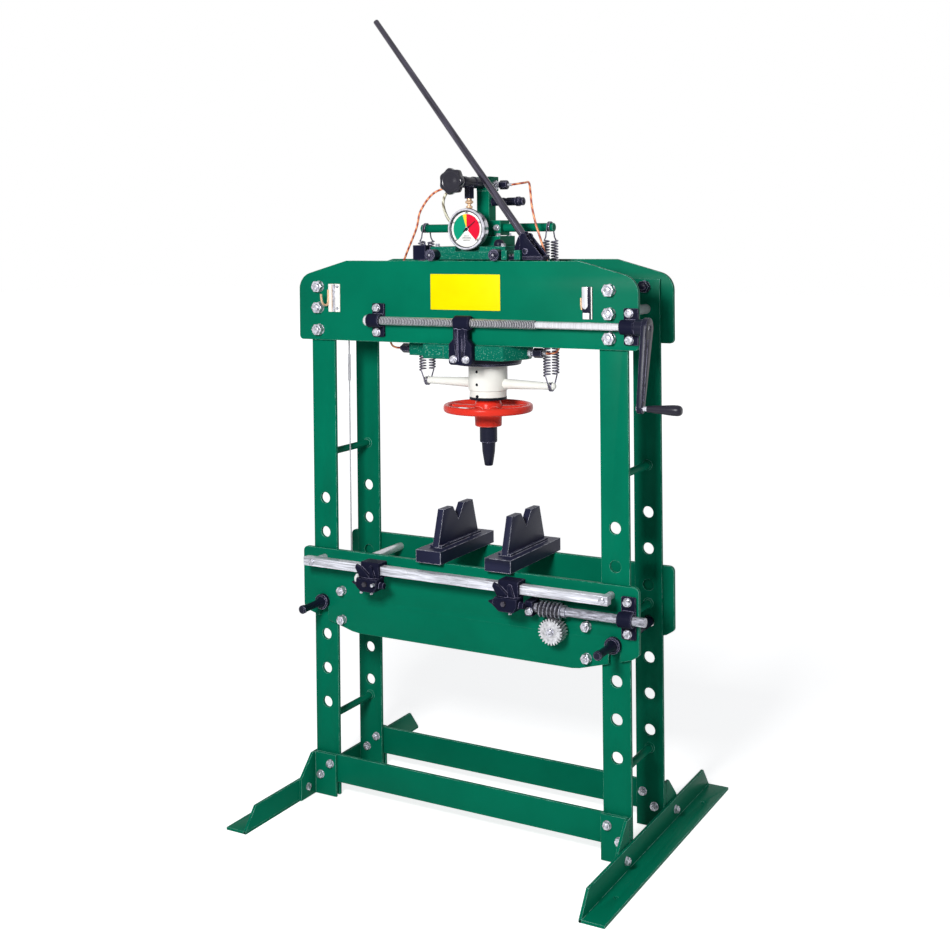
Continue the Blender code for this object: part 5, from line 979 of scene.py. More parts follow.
def rounded(share, power):
    return math.copysign(abs(share) ** power, share)


def makeWheel(w, x):
    middle, a, b = w["radius"] - w["rimWidth"] / 2, w["rimWidth"] / 2, w["rimHeight"] / 2
    section = [(middle + a * rounded(math.cos(t), 0.75), b * rounded(math.sin(t), 0.75)) for t in around(20)]
    hub, bore, low, top = w["hub"], w["bore"], w["hubLow"], w["hubTop"]
    profile = [(bore, low), (hub - 0.003, low), (hub - 0.001, low + 0.002), (hub, w["z"] - 0.02),
               (hub, w["z"] + 0.01), (hub - 0.004, top - 0.006), (hub - 0.008, top), (bore, top), (bore, low)]
    shapes = [turned([*section, section[0]], "Z", (x, 0, w["z"]), 120), turned(profile, "Z", (x, 0, 0), 64)]
    # spokes swell where they meet the hub and the rim
    start, end = hub - 0.004, w["radius"] - w["rimWidth"] * 0.6
    ring = [(w["spokeWidth"] / 2 * math.cos(t), w["spokeThick"] / 2 * rounded(math.sin(t), 0.8))
            for t in around(16)]
    rings, steps = [], 8
    for i in range(steps + 1):
        share = i / steps
        swell = 1.0 + 0.45 * (abs(share - 0.5) * 2) ** 3
        rings.append([(start + (end - start) * share, u * swell, v * (1 + 0.3 * (swell - 1)))
                      for u, v in ring])
    first = math.pi / w["spokes"]
    shapes += [moved(loft(rings), placeAt((x, 0, w["z"]), first + turn)) for turn in around(w["spokes"])]
    makePiece("handwheel", shapes, redEnamel, "handwheel", ["handwheel"], angle=40)


makeWheel(wheel, carriage["x"])

nose = {"top": 1.262, "thread": 0.020, "shoulder": 1.0947, "upper": 0.0250, "step": 1.0497, "lower": 0.0197,
        "taper": 1.0217, "taperRadius": 0.0180, "tip": 0.9827, "tipRadius": 0.0115}


def makeNose(n, x):
    ease, tip, taper = 0.0012, n["tip"], n["taperRadius"]
    profile = [(0, n["top"]), (n["thread"], n["top"]), (n["thread"], n["shoulder"]),
               (n["upper"] - ease, n["shoulder"]), (n["upper"], n["shoulder"] - ease),
               (n["upper"], n["step"] + ease), (n["upper"] - ease, n["step"]),
               (n["lower"] + 0.0008, n["step"]), (n["lower"], n["step"] - 0.0008), (taper, n["taper"]),
               (n["tipRadius"] + 0.0006, tip + 0.002), (n["tipRadius"] - ease, tip), (0, tip)]
    makePiece("noseSpindle", [turned(profile, "Z", (x, 0, 0), 56)], blackEnamel, "nose", ["nose_spindle"],
              angle=35)


makeNose(nose, carriage["x"])
print("ram, handwheel and nose made")

springs = {"x": 0.199, "y": 0.022, "stagger": 0.0026, "outer": 0.011, "wire": 0.0018, "coilTop": 1.618,
           "coilLow": 1.246, "curls": 48, "points": 14, "hookTurn": math.radians(230), "hookPoints": 14,
           "barZ": 1.654, "bar": 0.0118, "barHalf": 0.212, "gap": 0.0010}


def springRoute(s, x, armZ, arm, side, face):
    radius = s["outer"] - s["wire"]
    cx = x + side * s["x"] + face * s["stagger"]
    y = face * s["y"]
    over = s["bar"] + s["wire"] + s["gap"]
    points = []
    for i in range(s["hookPoints"]):
        angle = math.pi - s["hookTurn"] * (1 - i / (s["hookPoints"] - 1))
        points.append((cx, -face * over * math.cos(angle), s["barZ"] + over * math.sin(angle)))
    points.append((cx, y, s["coilTop"] + radius))
    count = s["curls"] * s["points"]
    for i in range(count + 1):
        angle = 2 * math.pi * i / s["points"]
        share = i / count
        z = s["coilTop"] + (s["coilLow"] - s["coilTop"]) * share
        points.append((cx + radius * math.sin(angle), y + face * radius * math.cos(angle), z))
    under = arm + s["wire"] + s["gap"]
    for i in range(s["hookPoints"]):
        angle = math.pi + s["hookTurn"] * i / (s["hookPoints"] - 1)
        points.append((cx, -face * under * math.cos(angle), armZ + under * math.sin(angle)))
    return points


def makeSprings(s, x, r):
    for title, side, sign in bothSides:
        for place, face in bothFaces:
            points = springRoute(s, x, r["armZ"], r["arm"], sign, face)
            coil = makePiece(f"spring{title}{place}", [sweep(points, s["wire"] * 1.15, 8)], springWire,
                             "carriage", [f"spring_{side}_{place.lower()}"], angle=50, ride=False)
            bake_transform(coil)
    half = s["barHalf"]
    makePiece("springBar", [rod(s["bar"], -half, half, "X", (x, 0, s["barZ"]), 32, 0.0012)], greenEnamel,
              "carriage", ["spring_bar"])


makeSprings(springs, carriage["x"], ramParts)

column = {"half": 0.020, "footHalfLength": 0.067, "footHalfDepth": 0.045, "footHeight": 0.028, "low": 1.6033,
          "headHalf": 0.026, "headLow": 1.758, "top": 1.798, "bossBack": 0.030, "bossReach": 0.059,
          "bossHalfDepth": 0.028, "bossHalfHeight": 0.021, "bossBolt": 0.048, "boltX": 0.055, "boltY": 0.033,
          "plugX": 0.078, "plugY": -0.072,
          "plug": ((0, 0), (0.014, 0), (0.0145, 0.006), (0.0135, 0.012), (0.010, 0.017), (0.005, 0.019),
                   (0, 0.0195))}


def makeColumn(c, x, s):
    half, low, top, head = c["half"], c["low"], c["top"], c["headHalf"]
    footLength, footDepth, footTop = c["footHalfLength"], c["footHalfDepth"], c["low"] + c["footHeight"]
    boss, bossHigh, z = c["bossHalfDepth"], c["bossHalfHeight"], s["barZ"]
    shapes = [block((x - half, -half, low), (x + half, half, top - 0.001)),
              block((x - footLength, -footDepth, low), (x + footLength, footDepth, footTop)),
              block((x - half, -half - 0.001, c["headLow"]), (x + head, head, top)),
              block((x - c["bossBack"], -boss, z - bossHigh), (x + c["bossReach"], boss, z + bossHigh))]
    makePiece("pumpColumn", shapes, greenEnamel, "carriage", ["pump_column"], bevel=0.0014)
    bolts = [bolt(0.014, 0.007, "Y", (x + c["bossBolt"], -boss, z), 0.009, 0.0012)]
    bolts += [bolt(0.012, 0.006, "Z", (x + a * c["boltX"], b * c["boltY"], footTop), 0.008, 0.0012)
              for a in (-1, 1) for b in (-1, 1)]
    makePiece("columnBolts", bolts, zincPlate, "carriage")
    # filler plug on the top casting, right of the gauge
    plug = turned(c["plug"], "Z", (x + c["plugX"], c["plugY"], low - fit), 32)
    makePiece("fillerPlug", [plug], blackEnamel, "carriage", angle=50)


makeColumn(column, carriage["x"], springs)

valves = {"z": 1.780, "tee": 0.015, "teeFront": -0.150, "inlet": 0.0203, "branch": 0.0138, "branchLow": 1.735,
          "stemY": -0.098, "knob": 0.0370, "lobes": 7, "lobeDepth": 0.0018, "knobFront": -0.202,
          "knobThick": 0.022, "neck": 0.010, "releaseZ": 1.727, "release": 0.0115, "releaseEnd": 0.142,
          "releaseCollar": 0.0135}


def makeValves(v, x):
    z, tee, end, start = v["z"], v["tee"], -v["teeFront"], v["inlet"]
    profile = [(0, start), (tee, start), (tee, 0.062), (tee + 0.0015, 0.064), (tee + 0.0015, 0.078),
               (tee - 0.0005, 0.080), (tee - 0.0005, 0.118), (tee + 0.0012, 0.120), (tee + 0.0012, 0.140),
               (tee - 0.003, 0.144), (tee - 0.004, end), (0, end)]
    low, foot = v["branchLow"], (x, v["stemY"], 0)
    branch = rod(v["branch"] - 0.0013, low + 0.028, z - 0.003, "Z", foot)
    nut = hexNut(2 * v["branch"] * 0.93, z - low - 0.012, "Z", (0, 0, 0))
    nut = moved(nut, placeAt((x, v["stemY"], z - 0.012), math.pi, "X"))
    makePiece("teeValve", [turned(profile, "Y", (x, 0, z), 40), branch, nut], blackEnamel, "carriage",
              ["tee_valve"], bevel=0.0006, angle=32)
    # fluted knob with a dished face: (height, share of the radius, depth of the flutes)
    front = -v["knobFront"]
    back = front - v["knobThick"]
    rows = ((back, 0.72, 0.0), (back + 0.0015, 0.93, 0.6), (back + 0.005, 1.0, 1.0),
            (front - 0.006, 1.0, 1.0), (front - 0.002, 0.955, 0.7), (front, 0.86, 0.2),
            (front - 0.0002, 0.80, 0.0), (front - 0.0030, 0.745, 0.0), (front - 0.0038, 0.62, 0.0),
            (front - 0.0030, 0.44, 0.0), (front - 0.0014, 0.30, 0.0), (front - 0.0004, 0.12, 0.0))
    rings = []
    for height, share, flute in rows:
        rings.append([])
        for angle in around(v["lobes"] * 14):
            radius = v["knob"] * share + v["lobeDepth"] * 1.35 * (math.cos(v["lobes"] * angle) - 1) * flute
            rings[-1].append((radius * math.cos(angle), radius * math.sin(angle), height))
    knob = moved(loft(rings), Matrix.Translation((x, 0, z)) @ turnTo("Y"))
    neck = rod(v["neck"], end + fit, back + 0.002, "Y", (x, 0, z))
    makePiece("valveKnob", [knob, neck], knobBlack, "valve_knob", ["valve_knob"], angle=45)
    r, collar, end, first = v["release"], v["releaseCollar"], v["releaseEnd"], x + v["inlet"]
    profile = [(0, first), (r, first), (r, end - 0.062), (r - 0.0012, end - 0.060), (r - 0.0012, end - 0.052),
               (r, end - 0.050), (r, end - 0.0225), (collar, end - 0.0220), (collar, end - 0.0125),
               (r, end - 0.012), (r - 0.001, end - 0.011), (r, end - 0.009), (r, end - 0.001),
               (r - 0.001, end), (r * 0.5, end), (r * 0.45, end - 0.003), (0, end - 0.003)]
    makePiece("releaseValve", [turned(profile, "X", (0, 0, v["releaseZ"]), 36)], blackEnamel, "release_valve",
              ["release_valve"], angle=30)


makeValves(valves, carriage["x"])

gauge = {"z": 1.651, "radius": 0.0573, "front": -0.120, "depth": 0.036, "bezel": 0.0068, "recess": 0.006,
         "stemY": -0.098, "stemTop": 1.7347, "needleTurn": math.radians(-52), "needle": 0.036, "tail": 0.012,
         "sweepLow": math.radians(222), "sweepHigh": math.radians(-42), "sector": 0.0414, "ticks": 0.0492,
         "sectors": (("Green", dialGreen, 107, 227), ("Yellow", dialYellow, 90, 107),
                     ("Red", dialRed, -47, 90)),
         "bars": ((0.0135, 0.0085), (0.0175, 0.0130), (0.0215, 0.0150), (0.0255, 0.0110)),
         "figures": 5, "figureStep": 150, "figureRadius": 0.0440, "figureSize": 0.0080, "steps": 40,
         "longMark": 0.0055, "midMark": 0.0040, "shortMark": 0.0028, "boldMark": 0.0016, "fineMark": 0.0009}


def fan(inner, outer, start, end, y, x, z, steps=28):
    ring = arc((0, 0), outer, start, end, steps) + list(reversed(arc((0, 0), inner, start, end, steps)))
    verts = [(x + u, y, z + v) for u, v in ring]
    count = len(ring)
    faces = [(i, i + 1, count - 2 - i, count - 1 - i) for i in range(steps)]
    return verts, faces


def makeGauge(g, x):
    r, back, z = g["radius"], -g["front"], g["z"]
    dial, face, lift = back - g["recess"], r - g["bezel"], 0.0004
    y = -(dial + 2 * lift)

    def spun(profile, steps=96):
        return turned(profile, "Y", (x, 0, z), steps)

    case = [(0, back - g["depth"]), (r * 0.86, back - g["depth"]), (r * 0.93, back - g["depth"] + 0.003),
            (r * 0.94, back - 0.014), (r, back - 0.0125), (r, back - 0.002), (r - 0.0015, back - 0.0003),
            (face + 0.0006, back), (face, back - 0.0012), (face, dial), (0, dial)]
    makePiece("gaugeCase", [spun(case)], chromeRim, "carriage", ["gauge_case"], angle=28)
    profile = [(0, dial + lift), (face - 0.0002, dial + lift), (face - 0.0002, dial + 0.0001)]
    makePiece("gaugeDial", [spun(profile)], dialWhite, "carriage")
    for title, material, low, high in g["sectors"]:
        sector = fan(0.006, g["sector"], math.radians(low), math.radians(high), y, x, z)
        makePiece("gauge" + title, [sector], material, "carriage")
    # dark shade where the dial meets the rim
    profile = [(face - 0.0016, dial + 1.5 * lift), (face - 0.0001, dial + 1.5 * lift)]
    makePiece("gaugeShade", [spun(profile)], markBlack, "carriage")
    for name, outer, depth in (("Outer", r + 0.0006, back - 0.0075), ("Inner", face + 0.0009, back + 0.0001)):
        profile = [(outer - 0.0013, depth - 0.0004), (outer, depth - 0.0004), (outer, depth + 0.0006),
                   (outer - 0.0013, depth + 0.0006)]
        makePiece(f"gaugeRing{name}", [spun(profile)], markBlack, "carriage")
    outer, first, span = g["ticks"], g["sweepHigh"], g["sweepLow"] - g["sweepHigh"]
    marks = [fan(outer - 0.0014, outer, first, g["sweepLow"], y, x, z, 60)]
    for i in range(g["steps"] + 1):
        angle = first + span * i / g["steps"]
        long = g["longMark"] if i % 10 == 0 else g["midMark"] if i % 5 == 0 else g["shortMark"]
        wide = (g["boldMark"] if i % 10 == 0 else g["fineMark"]) / outer
        marks.append(fan(outer - long, outer, angle - wide / 2, angle + wide / 2, y, x, z, 1))
    # plain bars at the dial's foot
    for drop, half in g["bars"]:
        low = z - drop - 0.006
        bar = rectangle(x - half, low, x + half, low + 0.0013)
        marks.append(([(u, y, v) for u, v in bar], [(0, 1, 2, 3)]))
    makePiece("gaugeMarks", marks, markBlack, "carriage")
    for i in range(g["figures"]):
        angle = g["sweepLow"] - span * i / (g["figures"] - 1)
        text = bpy.data.curves.new(f"figure{i}", "FONT")
        text.body = str(i * g["figureStep"])
        text.size = g["figureSize"]
        text.align_x, text.align_y = "CENTER", "CENTER"
        figure = addObject(f"gaugeFigure{i}", text)
        figure.rotation_euler = (math.pi / 2, 0, 0)
        out = g["figureRadius"]
        figure.location = pressOrigin + Vector((x + out * math.cos(angle), y, z + out * math.sin(angle)))
        mesh = meshOf(figure)
        mesh.materials.append(markBlack)
        numeral = addObject(f"gaugeNumeral{i}", mesh)
        numeral.matrix_world = figure.matrix_basis
        bpy.data.objects.remove(figure)
        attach(numeral, "carriage")
    turn = g["needleTurn"]
    outline = mirrored([(0.0013, -g["tail"]), (0.0024, -0.004), (0.0018, 0), (0.0005, g["needle"])])
    outline = [(u * math.cos(turn) - v * math.sin(turn), u * math.sin(turn) + v * math.cos(turn))
               for u, v in outline]
    needleY = g["front"] + g["recess"] / 2
    hub = [(0, dial + 0.0014), (0.0018, dial + 0.0014), (0.0018, -needleY - 0.001),
           (0.0042, -needleY - 0.001), (0.0045, -needleY + 0.0004), (0.0036, -needleY + 0.0012),
           (0, -needleY + 0.0014)]
    makePiece("gaugeNeedle", [plate([outline], 0.0008, "XZ", (x, needleY, z), 0.0002), spun(hub, 24)],
              markBlack, "needle", ["gauge_needle"])
    # brass adapter with two waists, between the case and the tee
    low, top = z + r - 0.002, g["stemTop"]
    adapter = [(0, low), (0.0075, low), (0.0090, low + 0.003), (0.0090, low + 0.008), (0.0045, low + 0.010),
               (0.0045, low + 0.013), (0.0105, low + 0.016), (0.0115, low + 0.019), (0.0105, low + 0.022),
               (0.0070, low + 0.024), (0.0070, top), (0, top)]
    makePiece("gaugeAdapter", [turned(adapter, "Z", (x, g["stemY"], 0), 24)], brassPlate, "carriage",
              angle=35)


makeGauge(gauge, carriage["x"])
print("column, valves and gauge made")

pipes = {"pipe": 0.003, "hose": 0.004,
         "left": ((-0.004, -0.060, 1.776), (-0.050, -0.070, 1.771), (-0.104, -0.079, 1.752),
                  (-0.143, -0.084, 1.704), (-0.158, -0.085, 1.652), (-0.202, -0.082, 1.562),
                  (-0.244, -0.072, 1.455), (-0.266, -0.062, 1.378), (-0.269, -0.057, 1.342),
                  (-0.261, -0.057, 1.319), (-0.246, -0.057, 1.3122), (-0.2303, -0.057, 1.312)),
         "right": ((0.0493, 0.000, 1.774), (0.100, 0.000, 1.774), (0.150, -0.011, 1.778),
                   (0.178, -0.040, 1.777), (0.1905, -0.056, 1.754), (0.197, -0.060, 1.711),
                   (0.2085, -0.060, 1.663), (0.225, -0.060, 1.614), (0.2415, -0.060, 1.560),
                   (0.2525, -0.059, 1.500), (0.2635, -0.058, 1.440), (0.276, -0.057, 1.372),
                   (0.277, -0.057, 1.340), (0.268, -0.057, 1.319), (0.252, -0.057, 1.3122),
                   (0.2353, -0.057, 1.312)),
         "drain": ((0.004, -0.128, 1.770), (-0.030, -0.128, 1.752), (-0.052, -0.112, 1.725),
                   (-0.058, -0.085, 1.690), (-0.046, -0.060, 1.650), (-0.040, -0.052, 1.6036)),
         "ports": {"left": (-1, (-0.190, -0.057, 1.312)), "right": (1, (0.183, -0.057, 1.312)),
                   "head": (1, (0.0493, 0.0, 1.774)), "tee": (-1, (0.002, -0.060, 1.777))},
         "cuff": 0.0058, "cuffs": (("hoseCuff", 0, 0.010, "X", (-0.005, -0.128, 1.770)),
                                   ("hoseFoot", 1.6033, 1.614, "Z", (-0.0405, -0.052, 0)))}

# hexes and collars at the pipes' ends; each part is (across, start, length, round or not)
fittings = (
    ("portNippleLeft", "left", zincPlate, ((0.022, -0.001, 0.006, False), (0.013, 0.004, 0.008, True))),
    ("portNutLeft", "left", blackEnamel, ((0.024, 0.0085, 0.024, False), (0.014, 0.031, 0.009, True))),
    ("portNippleRight", "right", zincPlate,
     ((0.022, -0.001, 0.010, False), (0.014, 0.008, 0.009, True), (0.011, 0.041, 0.011, True))),
    ("portNutRight", "right", blackEnamel, ((0.024, 0.016, 0.026, False),)),
    ("headNipple", "head", zincPlate,
     ((0.024, -0.001, 0.009, False), (0.015, 0.007, 0.013, True), (0.008, 0.040, 0.016, True))),
    ("headNut", "head", blackEnamel, ((0.0225, 0.0195, 0.023, False),)),
    ("teePipeNut", "tee", blackEnamel, ((0.013, 0.000, 0.012, False),)))


def fitting(at, sign, parts):
    shapes = []
    for across, start, length, isRound in parts:
        if isRound:
            low, high = sorted((sign * start, sign * (start + length)))
            shapes.append(rod(across / 2, low, high, "X", at, 24, 0.0006))
        else:
            nut = hexNut(across, length, "X", (start, 0, 0))
            shapes.append(moved(nut, Matrix.Translation(at) @ Matrix.Scale(sign, 4, (1, 0, 0))))
    return shapes


def makePipes(p):
    for title, side, _ in bothSides:
        path = smoothPath(p[side], 0.006)
        makePiece(f"pipe{title}", [sweep(path, p["pipe"], 12)], copperStrand, "carriage", [f"pipe_{side}"],
                  angle=60)
    for name, port, material, parts in fittings:
        sign, at = p["ports"][port]
        makePiece(name, fitting(at, sign, parts), material, "carriage")
    path = smoothPath(p["drain"], 0.004)
    hose = makePiece("drainHose", [sweep(path, p["hose"], 14)], hoseBraid, "carriage", ["drain_hose"],
                     angle=60)
    length = sum((b - a).length for a, b in zip(path, path[1:]))
    for name, low, high, axis, at in p["cuffs"]:
        makePiece(name, [rod(p["cuff"], low, high, axis, at, 20, 0.0006)], zincPlate, "carriage")


makePipes(pipes)

pump = {"pivot": (0.205, 1.590), "y": -0.098, "left": 0.1415, "right": 0.2580, "low": 1.5665,
        "baseHeight": 0.010, "ear": 0.006, "earInner": 0.0155, "earLeft": 0.187, "peak": (0.199, 1.629),
        "peakRadius": 0.010, "pin": 0.006, "arm": 0.030, "gap": 0.015, "cheek": 0.006,
        "tilt": math.radians(37.2), "offset": 0.013, "socket": 0.0145, "socketLength": 0.046, "floor": 0.008,
        "handle": 0.7935, "handleLow": 0.0105, "handleHigh": 0.008, "plunger": 0.006, "plungerLength": 0.050}


def makePump(p):
    (px, pz), y = p["pivot"], p["y"]
    inner, outer = p["earInner"], p["earInner"] + p["ear"]
    low, right = p["low"], p["right"]
    base, middle = low + p["baseHeight"], low + p["baseHeight"] / 2
    plungerX = px - p["arm"]
    foot = roundCorners(rectangle(p["left"], y - outer, right, y + outer), 0.004, 3)
    well = ringHole((plungerX, y), p["plunger"] + fit, 20)
    shapes = [plate([foot, well], p["baseHeight"], "XY", (0, 0, middle), 0.001)]
    ear = [(p["earLeft"], middle), (right, middle)] + arc(p["peak"], p["peakRadius"], 0, math.pi, 10)
    shapes += [plate([ear], p["ear"], "XZ", (0, y + sign * (inner + p["ear"] / 2), 0), 0.001)
               for sign in (-1, 1)]
    shapes.append(rod(p["pin"], -y - outer + 0.003, -y + outer - 0.003, "Y", (px, 0, pz), 24))
    makePiece("pumpBracket", shapes, blackCasting, "carriage", ["pump_bracket"], bevel=0.0008)
    pivot = hexNut(0.013, 0.0035, "Y", (px, y - outer, pz), washer=0.0082, washerHeight=0.0008)
    makePiece("pumpPivot", [pivot], blackEnamel, "carriage")
    heads = [hexNut(0.010, 0.005, "Z", (p["left"] + 0.008, y + s * 0.012, base), washer=0.006,
                    washerHeight=0.0008) for s in (-1, 1)]
    makePiece("pumpBolts", heads, zincPlate, "carriage")
    plunger = rod(p["plunger"], low, low + p["plungerLength"], "Z", (plungerX, y, 0), 28, 0.0008)
    makePiece("pumpPlunger", [plunger], brightTurned, "plunger", ["pump_plunger"])
    up = Vector((-math.sin(p["tilt"]), math.cos(p["tilt"])))
    side = Vector((math.cos(p["tilt"]), math.sin(p["tilt"])))
    seat = side * p["offset"]
    pin, r, length = p["pin"], p["socket"], p["socketLength"]
    top = seat + up * length
    reach, wide = p["arm"] + pin, side * r * 0.7
    outline = [(-reach, -pin), (0, -pin * 2), tuple(seat + wide), tuple(top + wide), tuple(top - wide),
               (-reach, pin * 2)]
    cheek = [roundCorners(outline, 0.004, 4), ringHole((0, 0), pin + fit, 24)]
    shapes = [plate(cheek, p["cheek"], "XZ", (px, y + sign * (p["gap"] + p["cheek"]) / 2, pz), 0.001)
              for sign in (-1, 1)]
    start, bore = length / 3, p["handleLow"] + fit
    floor = start + p["floor"]
    sleeve = [(0, start), (r - 0.002, start), (r, start + 0.002), (r, length - 0.010),
              (r + 0.0012, length - 0.009), (r + 0.0012, length - 0.001), (r, length), (bore, length),
              (bore, floor), (0, floor)]
    tilt = placeAt((px + seat.x, y, pz + seat.y), -p["tilt"], "Y")
    shapes.append(moved(turned(sleeve, "Z", (0, 0, 0), 40), tilt))
    makePiece("pumpLever", shapes, blackCasting, "lever", ["pump_lever"], angle=32)
    clampScrew = bolt(0.010, 0.005, "Y", (0, 0, 0), 0.0, 0.0)
    makePiece("socketScrew", [moved(clampScrew, tilt @ Matrix.Translation((0, -r + 0.001, length - 0.016)))],
              zincPlate, "lever")
    low = floor + fit
    end, wide, narrow = low + p["handle"], p["handleLow"], p["handleHigh"]
    bar = [(0, low), (wide, low), (wide, length), (narrow, end - 0.002), (narrow - 0.0012, end),
           (narrow - 0.003, end), (narrow - 0.003, end - 0.02), (0, end - 0.02)]
    piece = makePiece("pumpHandle", [turned(bar, "Z", (0, 0, 0), 36)], oiledTube, "lever", ["pump_handle"],
                      angle=32)
    piece.matrix_world = Matrix.Translation(pressOrigin) @ tilt


makePump(pump)
print("pipes and pump made")

bed = {"halfLength": 0.529, "top": 0.725, "bottom": 0.491, "corner": 0.014, "sideBottom": 0.550,
       "shoulder": (0.506, 0.535), "belly": 0.350, "column": 0.459, "pinZ": 0.570, "slot": 0.0155,
       "thickness": 0.013, "middleY": 0.1248, "spacerX": 0.387, "spacers": (0.527, 0.611), "spacer": 0.0115,
       "sheave": 0.0539, "sheaveHalf": 0.008, "cableY": -0.010, "stiffener": (-0.350, 0.690),
       "winch": (0.297, 0.592), "winchShaft": 0.010, "lugX": 0.234, "lugHalf": 0.011, "wormY": -0.156,
       "wormZ": 0.646}


def bedOutline(b):
    (sx, sz), low, belly = b["shoulder"], b["bottom"], b["belly"]
    slope = (sz - low) / (sx - belly)
    slot, column, corner, end = b["slot"], b["column"], b["corner"], b["halfLength"]

    def edge(x):
        return (x, sz - slope * (sx - x))

    half = arc((end - corner, b["top"] - corner), corner, math.pi / 2, 0, 6)
    half += [(end, b["sideBottom"] + 0.012)]
    half += arc((end - 0.012, b["sideBottom"] + 0.006), 0.012, 0, -math.pi / 3, 4)
    half += [(sx, sz), edge(column + slot)]
    half += arc((column, b["pinZ"]), slot, 0, math.pi, 14)
    return mirrored(half + [edge(column - slot), (belly + 0.010, low + slope * 0.010), (belly - 0.012, low)])


def makeBed(b):
    outline, w, r, spacer = bedOutline(b), b["sheaveHalf"], b["sheave"], b["spacer"]
    hole = ringHole(b["winch"], b["winchShaft"] + fit, 24)
    front = [plate([outline, hole], b["thickness"], "XZ", (0, -b["middleY"], 0), 0.0012)]
    makePiece("bedPlateFront", front, greenEnamel, "bed", ["bed_plate_front"])
    lugX, half, y, z = b["lugX"], b["lugHalf"], b["wormY"], b["wormZ"]
    lug = [block((lugX - half, y - 0.020, z - 0.020), (lugX + half, -0.1312, z + 0.020))]
    makePiece("wormLug", lug, blackCasting, "bed", bevel=0.0018)
    lugBolt = bolt(0.0165, 0.007, "Y", (lugX + 0.002, y - 0.0195, z - 0.006), 0.0105, 0.0014)
    makePiece("wormLugBolt", [lugBolt], zincPlate, "bed")
    shapes = [plate([outline, hole], b["thickness"], "XZ", (0, b["middleY"], 0), 0.0012)]
    reach = b["middleY"] - b["thickness"] / 2 - fit
    shapes += [rod(spacer, -reach - 0.002, reach, "Y", (s * b["spacerX"], 0, z), 28)
               for z in b["spacers"] for s in (-1, 1)]
    x, z = b["stiffener"]
    makePiece("bedStiffener", [rod(spacer, -reach, reach, "Y", (x, 0, z), 28)], brightTurned, "bed")
    makePiece("bedPlateRear", shapes, greenEnamel, "bed", ["bed_plate_rear"])
    rim = [(spacer, w), (r * 0.55, w), (r * 0.60, w * 0.6), (r * 0.86, w * 0.6), (r * 0.90, w), (r, w),
            (r - 0.0012, w * 0.45)]
    groove = [(a, -h) for a, h in rim] + [(r - 0.0005, 0)] + rim[::-1] + [(spacer, -w)]
    groove = [(a, h - b["cableY"]) for a, h in groove]
    wheels = [turned(groove, "Y", (s * b["spacerX"], 0, b["spacers"][1]), 56) for s in (-1, 1)]
    makePiece("sheaves", wheels, gearSteel, "bed", angle=30)


makeBed(bed)

pins = {"radius": 0.0145, "collar": 0.022, "collarBack": -0.1316, "collarFront": -0.1456, "grip": 0.012,
        "front": -0.240, "rear": 0.140, "x": 0.459, "z": 0.570}


def makePins(p):
    front, back, rear, grip, r = -p["front"], -p["collarBack"], -p["rear"], p["grip"], p["radius"]
    step, collar = -p["collarFront"], p["collar"]
    profile = [(0, front), (grip - 0.003, front), (grip, front - 0.003), (grip, front - 0.012),
               (grip - 0.0018, front - 0.015), (grip - 0.0018, step + 0.018), (grip + 0.001, step + 0.010),
               (grip + 0.004, step), (collar - 0.0015, step), (collar, step - 0.0015), (collar, back + 0.001),
               (collar - 0.001, back), (r, back), (r, rear + 0.003), (r - 0.003, rear), (0, rear)]
    for title, side, sign in bothSides:
        makePiece(f"supportPin{title}", [turned(profile, "Y", (sign * p["x"], 0, p["z"]), 44)], blackEnamel,
                  f"pin_{side}", [f"support_pin_{side}"], angle=32)


makePins(pins)

rail = {"halfLength": 0.482, "right": 0.470, "front": -0.197, "back": -0.173, "low": 0.687, "high": 0.711,
        "postX": 0.453, "post": 0.010}


def makeRail(r):
    middle = (r["low"] + r["high"]) / 2
    shapes = [block((-r["halfLength"], r["front"], r["low"]), (r["right"], r["back"], r["high"]))]
    shapes += [rod(r["post"], 0.1316, -r["back"] + 0.006, "Y", (s * r["postX"], 0, middle), 28)
               for s in (-1, 1)]
    makePiece("centreRail", shapes, brightBar, "bed", ["centre_rail"], bevel=0.0009)
    caps = [bolt(0.015, 0.0045, "Y", (s * (r["postX"] + 0.001), r["front"], middle), 0.0095, 0.0008)
            for s in (-1, 1)]
    makePiece("railBolts", caps, zincPlate, "bed")


makeRail(rail)

clamp = {"left": -0.247, "right": 0.190, "half": 0.030, "wall": 0.011, "jawFront": -0.226, "jawBack": -0.184,
         "jawLow": 0.643, "jawHalf": 0.034, "centreZ": 0.661, "centre": 0.009, "reach": 0.062, "taper": 0.018,
         "tail": 0.048, "screws": {"left": (-0.030, 0.0045), "right": (0.004,)}, "screw": 0.0034,
         "screwNut": 0.0085, "stud": 0.0048,
         "button": ((0, -0.046), (0.010, -0.046), (0.0125, -0.0445), (0.0125, -0.0365), (0.010, -0.035),
                    (0, -0.035))}


